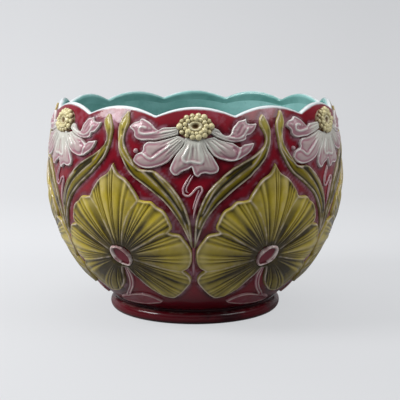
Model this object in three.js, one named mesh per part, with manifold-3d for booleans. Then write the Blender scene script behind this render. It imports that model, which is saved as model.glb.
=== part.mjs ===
// A glazed earthenware jardiniere on a low turned foot, with a scalloped rim and moulded plant relief.
// Millimetres, +Z up. The origin is the centre of the foot's underside, on the surface it stands on.
//
// The pieces are those of the potter's bench: the cast body, the foot ring luted into its rebate, the
// glaze lining, and the relief sprigs laid on the body's outside wall.
import * as THREE from "three";
import Module from "manifold-3d";

const wasm = await Module();
wasm.setup();

// ---------- body ----------
const RIM_HEIGHT = 229; // crest of a rim lobe
const RIM_RADIUS = 144; // outside of the wall at the crest
const BELLY_HEIGHT = 150;
const BELLY_RADIUS = 157.2; // widest part of the wall, without the relief
const BASE_RADIUS = 88.5; // outside of the wall where it meets the foot
const WALL = 6.6;
const FLOOR_THICKNESS = 8.5;
const FLOOR_CORNER = 9; // radius between the inside wall and the floor
const LOBE_DEPTH = 8.8; // from the crest of a rim lobe down to the notch beside it
const LIP = 2.2; // rise of the rounded rim above its two edges
const RIM_BAND = 10; // outside band that follows the scallops under the rim
const SCALLOP_BELT = 202.5; // height above which the wall's rows follow the scallops

// Handles of the two arcs of the wall's outline: how far each end pulls along its own direction.
const BASE_HANDLE = new THREE.Vector2(5.5, 5.6);
const BELLY_HANDLE_DOWN = 88;
const BELLY_HANDLE_UP = 15.5;
const RIM_HANDLE = new THREE.Vector2(11, 21.4);

// ---------- foot ----------
const FOOT_HEIGHT = 15.5;
const FOOT_RADIUS = 94.2; // widest part of the roll
const GROOVE_RADIUS = 86.8; // bottom of the groove under the body
const GROOVE_WIDTH = 2.6;
const FOOT_BORE = 75.5; // inside radius of the ring
const BORE_CHAMFER = 1.2;
const SPIGOT_DEPTH = 3; // how far the body's base sits down into the bore
const SPIGOT_CLEARANCE = 0.5;

// ---------- glaze lining ----------
const LINING = 1; // thickness of the lining's glaze
const LINING_DROP = 4; // from the rim's inner edge down to where the lining starts

// ---------- relief ----------
const SECTORS = 6; // repeats of the ornament round the body
const LOBES_PER_SECTOR = 2;
const SEAM = 0.3; // air left between faces that touch
const SPRIG_BED = 0.75; // air under a sprig, whose flat facets bridge the curved wall
const LEAF_EDGE = 2.5; // height of the leaf's rim above the wall
const LEAF_CROWN = 1.6; // extra height of a leaf lobe's middle
const EYE_RADIUS = 11.6;
const EYE_LIP = 3.5;
const STRAP_EDGE = 1.9;
const STRAP_CROWN = 1.3;
const PETAL_EDGE = 2.2;
const PETAL_CROWN = 1.4;
const BOSS_WIDE = 16.5; // half width of the flower's boss
const BOSS_TALL = 12.8; // half height of the flower's boss, measured upright
const BOSS_RISE = 6.4;
const BEADS = 10; // stamens round the boss
const STALK_RISE = 2.1;
const SHEATH_RISE = 2.4;
const TENDRIL_RISE = 1.9;
const TENDRIL_HALF_WIDTH = 0.72; // in panel degrees, so it widens with the pot
const STEM_RISE = 2;

// ---------- facets ----------
const SEGMENTS_PER_LOBE = 4;
const COLUMNS = SECTORS * LOBES_PER_SECTOR * SEGMENTS_PER_LOBE;
const OUTSIDE_ROWS = 10;
const INSIDE_ROWS = 5;
const OUTLINE_SAMPLES = 240;
const SAME_POINT = 1e-3;

// ---------- the ornament's panel ----------
// The relief is drawn on a flat panel: x in degrees round the body from the motif's own axis, y in
// panel units up from the table. The panel is stretched to one sector wide and to the body's height,
// so that all the ornament follows when the pot is made larger, taller or in more sectors.
const DRAWN_SECTORS = 6; // sectors that the outlines below are drawn for
const PANEL_ROWS = [15.8, 220.2]; // panel heights of the body's seat and of the rim's notches
const DEGREE_RATIO = 2.55; // panel units to a panel degree, for round shapes

const EYE = [0, 81];
const BOSS = [0.3, 211.2];

// Half of the fan leaf's outline, from the slit under its eye, round the lobes, to the tip.
const LEAF_HALF = [
  [1.0, 68.2], [5.2, 55], [10.8, 43.2], [18.3, 35.9], [24.4, 43.5], [28, 57],
  [26, 67.5], [28.7, 81], [27.8, 95.5], [24.8, 105.6], [21.1, 109.4], [21.7, 117.5], [18.6, 130.5],
  [14.6, 139.6], [11.1, 139.4], [9.6, 148], [6.2, 157.2], [0, 175],
];
const LEAF_NOTCHES = [6, 10, 14]; // points of the half outline where one lobe meets the next

// Edges of the two strap leaves that rise from one stem, from root to tip.
const STRAP_LEFT = {
  outer: [
    [-2.5, 98], [-4.2, 111.5], [-7.2, 125.5], [-11, 138], [-15.6, 148.5], [-20.3, 157.5],
    [-23.4, 164.8], [-26.2, 174], [-28.3, 186.5], [-29, 198.5], [-29.1, 208], [-27.6, 217.6], [-26.1, 224],
  ],
  inner: [
    [-1.1, 98.5], [-1.3, 113], [-2.3, 126], [-4.2, 139], [-6.9, 150.5], [-11, 161.5],
    [-15.6, 167.4], [-21.8, 173.4], [-25, 186], [-26.3, 198.5], [-24.6, 208.5], [-24.6, 217.6], [-25.4, 223.8],
  ],
};
const STRAP_RIGHT = {
  outer: [
    [1.1, 98], [2.6, 110], [5, 124], [8.4, 136.5], [12.6, 147], [17, 155.5], [21.4, 164.8],
    [24.6, 173.5], [27.2, 184], [28.6, 194.5], [28.6, 205], [27.7, 214], [26.2, 220.8],
  ],
  inner: [
    [-0.3, 98.5], [-0.3, 112], [0.9, 126], [2.9, 139.5], [5.7, 151.5], [9, 161], [13.5, 170.8],
    [18.8, 178.3], [23.5, 186.3], [26, 195], [25.1, 205], [24.1, 214], [25.5, 220.6],
  ],
};
const STEM = {
  left: [[-1.3, 96.6], [-1, 88], [-0.85, 79], [-0.9, 70], [-0.55, 61]],
  right: [[0.7, 96.6], [0.45, 88], [0.35, 79], [0.4, 70], [0.05, 61]],
};

// The flower's five petals. Each springs from the boss's edge between two turns round the boss, in
// degrees from the right, and runs outwards between two edges.
const PETALS = [
  {
    roots: [196, 226],
    left: [[-9.2, 210.6], [-13.2, 207.8], [-17.6, 215], [-20.6, 216.4], [-23.6, 211.6]],
    right: [[-10, 199.6], [-15, 197.6], [-19.2, 197.4], [-21.6, 199.8], [-22.4, 203.6]],
  },
  {
    roots: [214, 250],
    left: [[-8.8, 199], [-13, 195], [-17.6, 194.4], [-19.4, 188.6], [-22, 183.5]],
    right: [[-5.6, 192.6], [-8, 184.5], [-11.4, 176.4], [-15.8, 172.6], [-20, 174.6]],
  },
  {
    roots: [238, 302],
    left: [[-5.2, 187.7], [-7.6, 179.3], [-8.8, 170.9], [-7, 165.4], [-2.9, 170]],
    right: [[5.3, 187.7], [7.4, 178.7], [8.5, 170.9], [6.4, 166], [1.4, 164.2]],
  },
  {
    roots: [290, 322],
    left: [[5.8, 188.4], [9, 180.6], [12.8, 177.4], [17.4, 180], [20.6, 187]],
    right: [[7.7, 195.5], [11.4, 194.4], [15.6, 191.6], [19, 193.6], [21.6, 194.2]],
  },
  {
    roots: [310, 344],
    left: [[9.6, 198.2], [13.9, 196], [17.6, 196.6], [18.7, 200.5], [21.7, 203.8]],
    right: [[9, 206], [12.9, 203.6], [14.2, 211.6], [18.2, 216], [22.4, 211.4]],
  },
];

// The leaf's stalk runs from its eye to the foot, and a furled sheath lies across its end.
const STALK = {
  left: [[-0.75, 68], [-1.9, 59], [-4.4, 48.6], [-8.2, 40.6], [-12.2, 33.6], [-13.4, 27]],
  right: [[0.75, 68], [0.6, 59], [-0.8, 49], [-3.6, 41.6], [-7, 34.6], [-9, 28]],
};
const SHEATH = {
  left: [[-14.2, 28.6], [-9.4, 31.6], [-4, 35], [1, 38.4], [6, 36.8], [10.6, 32.6]],
  right: [[-14.4, 22.2], [-8, 21.6], [-3, 21.8], [3, 23.2], [8.4, 25.8], [11.4, 28.6]],
};

// Centre line of the flower's curling tendril, from under the petals to between the strap leaves.
const TENDRIL = [
  [-1.6, 163.4], [-2.9, 159.6], [-3.9, 155.2], [-4, 150.8], [-3.1, 147.3], [-1.7, 148], [-0.5, 152],
  [0.4, 155.6], [1.9, 156], [2.6, 153], [1.6, 149.2], [0.7, 144], [0.2, 138], [-0.1, 131], [-0.3, 125],
];

// ---------- surfaces of revolution ----------

const seatHeight = FOOT_HEIGHT + SEAM;
const spigotRadius = FOOT_BORE - SPIGOT_CLEARANCE;
const spigotHeight = seatHeight - SPIGOT_DEPTH;
const floorHeight = spigotHeight + FLOOR_THICKNESS;
const notchHeight = RIM_HEIGHT - LOBE_DEPTH;
const panelUnit = (notchHeight - seatHeight) / (PANEL_ROWS[1] - PANEL_ROWS[0]); // in millimetres

// The wall's outline as points of radius and height, from the foot up to the rim.
const wallOutline = (() => {
  const base = new THREE.Vector2(BASE_RADIUS, seatHeight);
  const belly = new THREE.Vector2(BELLY_RADIUS, BELLY_HEIGHT);
  const rim = new THREE.Vector2(RIM_RADIUS, RIM_HEIGHT);
  const lower = new THREE.CubicBezierCurve(
    base,
    base.clone().add(BASE_HANDLE),
    new THREE.Vector2(BELLY_RADIUS, BELLY_HEIGHT - BELLY_HANDLE_DOWN),
    belly,
  );
  const upper = new THREE.CubicBezierCurve(
    belly,
    new THREE.Vector2(BELLY_RADIUS, BELLY_HEIGHT + BELLY_HANDLE_UP),
    new THREE.Vector2(RIM_RADIUS + RIM_HANDLE.x, RIM_HEIGHT - RIM_HANDLE.y),
    rim,
  );
  const half = OUTLINE_SAMPLES / 2;
  return [...lower.getPoints(half), ...upper.getPoints(half).slice(1)];
})();

// Radius of the wall's outside at a height, and the outward normal there as (radial, upward).
function wallAt(height) {
  const found = wallOutline.findIndex((p) => p.y >= height);
  const next = found < 0 ? OUTLINE_SAMPLES : Math.max(1, found);
  const above = wallOutline[next];
  const below = wallOutline[next - 1];
  const share = (height - below.y) / (above.y - below.y);
  const run = new THREE.Vector2().subVectors(above, below).normalize();
  return {
    radius: below.x + (above.x - below.x) * share,
    normal: new THREE.Vector2(run.y, -run.x),
  };
}

// A point of the wall, sunk inwards from its outside by a depth, as [radius, height].
function wallPoint(height, depth) {
  const { radius, normal } = wallAt(height);
  return [radius - depth * normal.x, height - depth * normal.y];
}

// Height of the scalloped rim at an angle: one arc to each lobe, with a notch between two lobes.
function rimHeight(angle) {
  const lobe = 360 / (SECTORS * LOBES_PER_SECTOR);
  const fromCrest = Math.abs(THREE.MathUtils.euclideanModulo(angle + lobe / 2, lobe) - lobe / 2);
  return RIM_HEIGHT - LOBE_DEPTH * (fromCrest / (lobe / 2)) ** 2;
}

// Rows of the wall at a depth: level ones, evenly spaced along the outline from a height up to the
// belt, then one that follows the scallops at each drop below the rim. A row is a function from
// angle to [radius, height].
function wallRows(from, depth, rows, drops) {
  const stretch = new THREE.Path(wallOutline.filter((p) => p.y >= from && p.y <= SCALLOP_BELT));
  const level = stretch.getSpacedPoints(rows).map((p) => () => wallPoint(p.y, depth));
  const scalloped = drops.map((drop) => (angle) => wallPoint(rimHeight(angle) - drop, depth));
  return [...level, ...scalloped];
}

// The rounded corner between the inside wall and the floor, from the floor up, as rows.
function floorCorner(depth, floor) {
  const start = wallPoint(insideFrom, depth);
  const radius = start[1] - floor;
  return [0, 45].map((turn) => {
    const t = THREE.MathUtils.degToRad(turn);
    return () => [start[0] - radius * (1 - Math.sin(t)), floor + radius * (1 - Math.cos(t))];
  });
}

// The height on the wall's outside whose inside point lies one corner radius above the floor.
const insideFrom = (() => {
  let height = seatHeight;
  while (wallPoint(height, WALL)[1] < floorHeight + FLOOR_CORNER) height += 0.25;
  return height;
})();

// Joins rows, each a function from angle to [radius, height], into one closed skin round +Z.
// The first and the last row lie on the axis.
function revolve(rows) {
  const skin = new Skin();
  const at = (row, column) => {
    const angle = (column * 360) / COLUMNS;
    const [radius, height] = rows[row](angle);
    const turn = THREE.MathUtils.degToRad(angle);
    return [radius * Math.sin(turn), -radius * Math.cos(turn), height];
  };
  for (let row = 0; row + 1 < rows.length; row++) {
    for (let column = 0; column < COLUMNS; column++) {
      skin.quad(at(row, column), at(row, column + 1), at(row + 1, column + 1), at(row + 1, column));
    }
  }
  return skin.geometry();
}

// ---------- closed meshes ----------

// Collects triangles, joins the points that coincide and drops what collapses.
class Skin {
  constructor() {
    this.points = [];
    this.faces = [];
    this.known = new Map();
  }
  point(p) {
    const key = p.map((x) => Math.round(x / SAME_POINT)).join(",");
    if (!this.known.has(key)) {
      this.known.set(key, this.points.length / 3);
      this.points.push(...p);
    }
    return this.known.get(key);
  }
  triangle(a, b, c) {
    const ids = [a, b, c].map((p) => this.point(p));
    if (new Set(ids).size === 3) this.faces.push(...ids);
  }
  quad(a, b, c, d) {
    this.triangle(a, b, c);
    this.triangle(a, c, d);
  }
  geometry() {
    const g = new THREE.BufferGeometry();
    g.setAttribute("position", new THREE.Float32BufferAttribute(this.points, 3));
    g.setIndex(this.faces);
    g.computeVertexNormals();
    return g;
  }
}

// ---------- sprigs ----------

// A point of the panel, raised above the wall, on the sector whose axis stands at an angle.
function onBody([x, y], raised, axis) {
  const height = seatHeight + (y - PANEL_ROWS[0]) * panelUnit;
  const turn = THREE.MathUtils.degToRad(axis + (x * DRAWN_SECTORS) / SECTORS);
  const [radius, up] = wallPoint(height, -raised);
  return [radius * Math.sin(turn), -radius * Math.cos(turn), up];
}

const between = (a, b, share) => [a[0] + (b[0] - a[0]) * share, a[1] + (b[1] - a[1]) * share];

// A pad lying on the wall between two edges with as many points each. rise(i, share) is its height at
// point i of the edges and at a share of the way across. A round pad's edges come back to their start,
// and its back is flat from its middle out.
function sprig(edgeA, edgeB, across, rise, axis, round = false) {
  const skin = new Skin();
  const last = edgeA.length - 1;
  const spot = (i, j) => between(edgeA[i], edgeB[i], j / across);
  const front = (i, j) => onBody(spot(i, j), SPRIG_BED + rise(i, j / across), axis);
  const back = (i, j) => onBody(spot(i, j), SPRIG_BED, axis);
  for (let i = 0; i < last; i++) {
    for (let j = 0; j < across; j++) {
      skin.quad(front(i, j), front(i + 1, j), front(i + 1, j + 1), front(i, j + 1));
      if (!round) skin.quad(back(i, j + 1), back(i + 1, j + 1), back(i + 1, j), back(i, j));
    }
    if (round) skin.quad(back(i, across), back(i + 1, across), back(i + 1, 0), back(i, 0));
    skin.quad(back(i, 0), back(i + 1, 0), front(i + 1, 0), front(i, 0));
    skin.quad(front(i, across), front(i + 1, across), back(i + 1, across), back(i, across));
  }
  for (let j = 0; j < across && !round; j++) {
    skin.quad(back(0, j + 1), back(0, j), front(0, j), front(0, j + 1));
    skin.quad(back(last, j), back(last, j + 1), front(last, j + 1), front(last, j));
  }
  return facingOut(skin.geometry());
}

// Turns a closed mesh's faces outwards.
function facingOut(geometry) {
  const p = geometry.attributes.position;
  const index = geometry.index.array;
  const [a, b, c] = [new THREE.Vector3(), new THREE.Vector3(), new THREE.Vector3()];
  let volume = 0;
  for (let i = 0; i < index.length; i += 3) {
    [a, b, c].forEach((v, k) => v.fromBufferAttribute(p, index[i + k]));
    volume += a.dot(b.cross(c));
  }
  if (volume < 0) geometry.setIndex(Array.from(index).reverse());
  return geometry;
}

// Joins overlapping closed meshes into one.
function union(geometries) {
  const solids = geometries.map((g) => {
    const vertProperties = new Float32Array(g.attributes.position.array);
    const triVerts = new Uint32Array(g.index.array);
    return new wasm.Manifold(new wasm.Mesh({ numProp: 3, vertProperties, triVerts }));
  });
  const mesh = solids.reduce((whole, s) => whole.add(s)).getMesh();
  const g = new THREE.BufferGeometry();
  g.setAttribute("position", new THREE.BufferAttribute(mesh.vertProperties, 3));
  g.setIndex(new THREE.BufferAttribute(mesh.triVerts, 1));
  g.computeVertexNormals();
  return g;
}

// The panel point at a turn, in degrees, round an oval with the given half sizes in millimetres.
function onOval(centre, wide, tall, turn) {
  const t = THREE.MathUtils.degToRad(turn);
  const [x, y] = [(wide * Math.cos(t)) / panelUnit, (tall * Math.sin(t)) / panelUnit];
  return [centre[0] + x / DEGREE_RATIO, centre[1] + y];
}

// A closed ring of panel points round a centre. size(i) shrinks or swells the oval at point i.
function ring(centre, wide, tall, count, size = () => 1) {
  return Array.from({ length: count + 1 }, (_, i) =>
    onOval(centre, size(i) * wide, size(i) * tall, (360 * (i % count)) / count),
  );
}

const mirrored = (points) => points.map(([x, y]) => [-x, y]);
const hump = (share) => Math.sin(Math.PI * share);

function leafGeometry(axis) {
  const half = LEAF_HALF;
  const outline = [...half, ...mirrored(half.slice(0, -1)).reverse()];
  const hole = outline.map(([x, y]) => {
    const turn = THREE.MathUtils.radToDeg(Math.atan2(y - EYE[1], (x - EYE[0]) * DEGREE_RATIO));
    return onOval(EYE, EYE_RADIUS + SEAM, EYE_RADIUS + SEAM, turn);
  });
  // How near a point of the outline is to the middle of its lobe: 0 at a notch and at the slit.
  const tip = half.length - 1;
  const breaks = [0, ...LEAF_NOTCHES, 2 * tip - LEAF_NOTCHES.at(-1)];
  const crown = (i) => {
    const k = Math.min(i, 2 * tip - i);
    const from = breaks.filter((b) => b <= k).at(-1);
    const to = breaks.find((b) => b > k);
    return hump((k - from) / (to - from));
  };
  const rise = (i, share) => LEAF_EDGE * (0.7 + 0.3 * share) + LEAF_CROWN * crown(i) * hump(share);
  return sprig(hole, outline, 3, rise, axis);
}

function eyeGeometry(axis) {
  const count = 14;
  const centre = Array.from({ length: count + 1 }, () => EYE);
  const heights = [0.45, 0.5, 1, 0.6]; // pool, foot of the lip, crest of the lip, outer edge
  const rise = (i, share) => EYE_LIP * heights[Math.round(share * 3)];
  return sprig(centre, ring(EYE, EYE_RADIUS, EYE_RADIUS, count), 3, rise, axis, true);
}

function strapGeometry(edges, axis) {
  const taper = (i) => Math.min(1, 0.55 + i / 6);
  const rise = (i, share) => (STRAP_EDGE + STRAP_CROWN * hump(share)) * taper(i);
  return sprig(edges.outer, edges.inner, 2, rise, axis);
}

function blossomGeometry(axis) {
  const pads = PETALS.map(({ roots, left, right }) => {
    // The straight root lies just outside the boss's oval, touching it at its middle.
    const swell = 1 / Math.cos(THREE.MathUtils.degToRad((roots[1] - roots[0]) / 2));
    const [from, to] = roots.map((turn) =>
      onOval(BOSS, (BOSS_WIDE + SEAM) * swell, (BOSS_TALL + SEAM) * swell, turn),
    );
    const rise = (i, share) => PETAL_EDGE + PETAL_CROWN * hump(share) * (1 - i / (2 * left.length));
    return sprig([from, ...left], [to, ...right], 2, rise, axis);
  });
  return union(pads);
}

function bossGeometry(axis) {
  const count = 2 * BEADS;
  const centre = Array.from({ length: count + 1 }, () => BOSS);
  const beaded = (i) => (i % 2 ? 0.9 : 1);
  const edge = ring(BOSS, BOSS_WIDE, BOSS_TALL, count, beaded);
  const heights = [0.5, 1, 0.66, 0.95, 0.36]; // cup, crest of the cup, groove, bead, outer edge
  const rise = (i, share) => BOSS_RISE * heights[Math.round(share * 4)];
  return sprig(centre, edge, 4, rise, axis, true);
}

function stalkGeometry(axis, hand) {
  const turned = (points) => (hand < 0 ? mirrored(points) : points);
  const stalk = sprig(turned(STALK.left), turned(STALK.right), 1, () => STALK_RISE, axis);
  const rise = (i, share) => SHEATH_RISE * (0.6 + 0.4 * hump(share));
  const sheath = sprig(turned(SHEATH.left), turned(SHEATH.right), 2, rise, axis);
  return union([stalk, sheath]);
}

function stemGeometry(axis) {
  return sprig(STEM.left, STEM.right, 1, () => STEM_RISE, axis);
}

// A ribbon of even width along a centre line, measured square to the line on the panel.
function tendrilGeometry(axis) {
  const side = (sign) =>
    TENDRIL.map(([x, y], i) => {
      const before = TENDRIL[Math.max(0, i - 1)];
      const after = TENDRIL[Math.min(TENDRIL.length - 1, i + 1)];
      const run = new THREE.Vector2((after[0] - before[0]) * DEGREE_RATIO, after[1] - before[1]).normalize();
      const half = TENDRIL_HALF_WIDTH * (i === TENDRIL.length - 1 ? 0.4 : 1);
      return [x - sign * half * run.y, y + sign * half * DEGREE_RATIO * run.x];
    });
  return sprig(side(1), side(-1), 1, () => TENDRIL_RISE, axis);
}

// ---------- pot ----------

function bodyGeometry() {
  const outside = wallRows(seatHeight, 0, OUTSIDE_ROWS, [LIP + RIM_BAND, LIP]);
  const inside = wallRows(insideFrom, WALL, INSIDE_ROWS, [LIP + LINING_DROP, LIP]);
  const rimTop = (angle) => {
    const [radius] = wallPoint(rimHeight(angle) - LIP, WALL / 2);
    return [radius, rimHeight(angle)];
  };
  return revolve([
    () => [0, spigotHeight],
    () => [spigotRadius, spigotHeight],
    () => [spigotRadius, seatHeight],
    ...outside,
    rimTop,
    ...inside.reverse(),
    ...floorCorner(WALL, floorHeight).reverse(),
    () => [0, floorHeight],
  ]);
}

function liningGeometry() {
  const side = (depth, floor) => [
    ...floorCorner(depth, floor),
    ...wallRows(insideFrom, depth, INSIDE_ROWS, [LIP + LINING_DROP]),
  ];
  const outerFloor = floorHeight + SEAM;
  const innerFloor = outerFloor + LINING;
  return revolve([
    () => [0, outerFloor],
    ...side(WALL + SEAM, outerFloor),
    ...side(WALL + SEAM + LINING, innerFloor).reverse(),
    () => [0, innerFloor],
  ]);
}

function footGeometry() {
  const arc = (radius, height, size, from, to, steps) =>
    Array.from({ length: steps + 1 }, (_, i) => {
      const t = THREE.MathUtils.degToRad(from + ((to - from) * i) / steps);
      return new THREE.Vector2(radius + size * Math.cos(t), height + size * Math.sin(t));
    });
  const roll = (FOOT_HEIGHT - GROOVE_WIDTH) / 2;
  const rollCentre = FOOT_RADIUS - roll;
  const groove = GROOVE_WIDTH / 2;
  const grooveCentre = FOOT_HEIGHT - groove;
  const profile = [
    new THREE.Vector2(FOOT_BORE, BORE_CHAMFER),
    new THREE.Vector2(FOOT_BORE + BORE_CHAMFER, 0),
    ...arc(rollCentre, roll, roll, -90, 72, 6),
    ...arc(GROOVE_RADIUS + groove, grooveCentre, groove, 225, 135, 2),
    new THREE.Vector2(GROOVE_RADIUS + groove, FOOT_HEIGHT),
    new THREE.Vector2(FOOT_BORE, FOOT_HEIGHT),
  ];
  profile.push(profile[0].clone());
  const g = new THREE.LatheGeometry(profile, COLUMNS);
  g.rotateX(Math.PI / 2);
  return g;
}

// ---------- finishes ----------

const glaze = (colour, roughness = 0.16) =>
  new THREE.MeshStandardMaterial({ color: colour, roughness, metalness: 0 });
const FINISH = {
  ground: glaze(0x6b1a2c),
  lining: glaze(0x7cc4bd),
  leaf: glaze(0x7d7328),
  strap: glaze(0x8a7d2a),
  petal: glaze(0xd3c3c6),
  boss: glaze(0xcfc794),
  eye: glaze(0x8c3442),
  stem: glaze(0x9a6a70),
};

// ---------- assembly ----------

const group = new THREE.Group();

function add(name, geometry, finish) {
  const mesh = new THREE.Mesh(geometry, finish);
  mesh.name = name;
  group.add(mesh);
}

add("bowl_body", bodyGeometry(), FINISH.ground);
add("foot_ring", footGeometry(), FINISH.ground);
add("lining_glaze", liningGeometry(), FINISH.lining);

for (let k = 0; k < SECTORS; k++) {
  const flowerAxis = (k * 360) / SECTORS;
  const leafAxis = flowerAxis + 180 / SECTORS;
  const hand = k % 2 ? 1 : -1; // the leaf stalks lean by turns one way and the other
  const n = k + 1;
  add(`fan_leaf_${n}`, leafGeometry(leafAxis), FINISH.leaf);
  add(`leaf_eye_${n}`, eyeGeometry(leafAxis), FINISH.eye);
  add(`leaf_stalk_${n}`, stalkGeometry(leafAxis, hand), FINISH.ground);
  add(`strap_leaf_left_${n}`, strapGeometry(STRAP_LEFT, flowerAxis), FINISH.strap);
  add(`strap_leaf_right_${n}`, strapGeometry(STRAP_RIGHT, flowerAxis), FINISH.strap);
  add(`plant_stem_${n}`, stemGeometry(flowerAxis), FINISH.stem);
  add(`blossom_${n}`, blossomGeometry(flowerAxis), FINISH.petal);
  add(`blossom_boss_${n}`, bossGeometry(flowerAxis), FINISH.boss);
  add(`flower_tendril_${n}`, tendrilGeometry(flowerAxis), FINISH.stem);
}

export default group;
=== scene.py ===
"""Glazed earthenware jardiniere with moulded leaf and flower relief.

Metres, +Z up. Angles go round the pot from its front, -Y, towards +X. The relief is worked out on a
flat panel: degrees round the pot from the motif's own axis, and millimetres up from the table.
"""

import functools
import math

import bmesh
import bpy
import numpy as np
from bpy.props import FloatProperty, FloatVectorProperty, IntProperty, PointerProperty
from bpy.types import Operator, Panel, PropertyGroup
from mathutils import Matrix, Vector


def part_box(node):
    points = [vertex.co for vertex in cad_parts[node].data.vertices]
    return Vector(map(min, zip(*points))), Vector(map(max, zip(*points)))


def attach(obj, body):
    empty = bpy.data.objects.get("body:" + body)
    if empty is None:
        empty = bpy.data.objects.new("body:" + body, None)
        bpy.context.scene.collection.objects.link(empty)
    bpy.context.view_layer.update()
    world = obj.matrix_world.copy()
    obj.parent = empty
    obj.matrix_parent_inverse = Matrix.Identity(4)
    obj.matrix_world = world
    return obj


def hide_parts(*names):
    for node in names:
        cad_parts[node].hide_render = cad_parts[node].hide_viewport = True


bl_info = {
    "name": "Jardiniere with Leaf and Flower Relief",
    "version": (1, 0, 0),
    "blender": (4, 5, 0),
    "location": "View3D > Sidebar > Jardiniere",
    "description": "Builds the pot, its glazes, its relief and a plain stage",
    "category": "Object",
}

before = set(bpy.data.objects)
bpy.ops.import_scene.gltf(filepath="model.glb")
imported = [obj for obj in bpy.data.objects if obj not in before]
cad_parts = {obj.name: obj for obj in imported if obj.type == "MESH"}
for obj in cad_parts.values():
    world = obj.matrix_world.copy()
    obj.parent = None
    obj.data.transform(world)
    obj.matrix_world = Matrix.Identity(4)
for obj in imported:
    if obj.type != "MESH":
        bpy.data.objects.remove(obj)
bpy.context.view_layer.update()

MM = 0.001
SECTORS = 6
CELL = np.array((2.6, 1.0))  # millimetres to a panel degree and to a panel row, near enough for spacing
PLANT_OFF_AXIS = 1.1  # degrees by which the plant's outlines below stand left of the flower's axis
SINK = 1.3  # millimetres by which a relief piece's edge goes down into the wall
BACK = 2.5  # millimetres from the wall's face in to a relief piece's plain back
SEAM = 0.3  # millimetres between the foot and the wall that sits on it
RING_DEPTH = 18.7  # millimetres from the foot's outside in to its bore
RIM_LEAN = 0.45  # millimetres that the rim moves out for each millimetre that a notch drops it


# ---------- outlines of the relief, on the panel ----------

EYE_AT = (0.0, 81.0)

# Half of the fan leaf, from its tip to the slit under its eye. Each stretch ends in a notch.
LEAF_STRETCHES = [
    [(0, 174.5), (2.2, 165), (5.7, 159), (8.2, 151), (9.7, 145), (10.5, 140.5)],
    [(10.5, 140.5), (12.2, 139.5), (14.7, 139), (16.7, 134), (18.7, 131), (20.2, 125), (20.9, 120), (21.6, 115),
     (21.4, 111.5), (20.5, 109)],
    [(20.5, 109), (21.9, 108.2), (24.3, 106.7), (26.1, 101), (27.6, 95), (28.5, 89.5), (28.7, 85), (28.4, 78),
     (27.2, 71.5), (25.2, 68.3)],
    [(25.2, 68.3), (27.1, 64), (28.2, 59), (27.9, 54), (26.4, 49), (24.2, 43), (21.4, 37.6), (18.8, 34.8),
     (16.4, 35.3), (13.2, 38), (10.2, 42.6), (7.2, 48.8), (4.8, 56), (2.4, 62.6), (1, 67.8)],
]
# The same last stretch on the side where the stalk runs, which is straighter.
LEAF_STALK_SIDE = [(25.2, 68.3), (27.1, 64), (28.2, 59), (27.9, 54), (26.4, 49), (24.2, 43), (21.4, 37.6),
                   (18.8, 34.8), (15.4, 35.3), (11.2, 38), (7.8, 42.6), (4.6, 48.8), (2.6, 56), (1.8, 62.6),
                   (1, 67.8)]
LEAF_VEINS = [
    [(10.5, 140.5), (8.5, 134.8), (6.7, 128.4), (5.1, 120.6), (3.9, 112.9), (2.6, 103.8), (1.8, 93)],
    [(20.5, 109), (18.3, 107.7), (16.2, 105.1), (14.2, 101.3), (9.8, 94.5), (5, 87.5)],
    [(25.2, 68.3), (20.5, 69.8), (15, 73), (9, 77), (5, 79.5)],
]

# The eye of the leaf on the flower's left, in millimetres from its centre.
EYE_RIM = [(1.8, 10.8), (-4.2, 12.6), (-9.6, 11.8), (-12.6, 8), (-12.6, 1), (-9.6, -4.6), (-4, -8), (2.4, -10),
           (8, -10), (11.4, -5.6), (11.2, 0.6), (7.2, 6.2)]
EYE_SCALE = 0.94
EYE_DEGREE = 2.5  # millimetres that a degree of the panel measures at the eye
EYE_DIVIDER = [(-4.4, 9.4), (-8.4, 7.8), (-8.8, 3), (-6.2, -1.8), (-2, -5.2)]

# Stalk and sheath of the leaf on the flower's left, from the leaf's axis.
STALK_EDGES = (
    [(-0.8, 69.2), (-0.9, 60), (-2, 51), (-4.2, 44), (-7.4, 38), (-11, 32), (-12.6, 27)],
    [(0.9, 69.2), (2, 61), (1.6, 52.5), (0, 45.5), (-2.8, 39.5), (-5.8, 34), (-8, 28)],
)
STALK_RIDGES = [
    [(-0.4, 68.4), (-0.1, 60), (-1.2, 51), (-3.3, 44.3), (-6.5, 38.4), (-10, 32.4)],
    [(0.5, 68.4), (1.3, 61), (0.7, 52.8), (-1.1, 45.6), (-3.9, 39.4), (-6.8, 34.4)],
]
SHEATH_EDGES = (
    [(-18.4, 27.4), (-11, 31.6), (-5.6, 34.2), (-1, 36.2), (4, 36.2), (8.4, 33.6), (12, 29.4)],
    [(-18.6, 22), (-9, 21.2), (-4.6, 21.4), (2, 22.6), (8, 25), (10.6, 26.2), (12.4, 28.4)],
)

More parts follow.
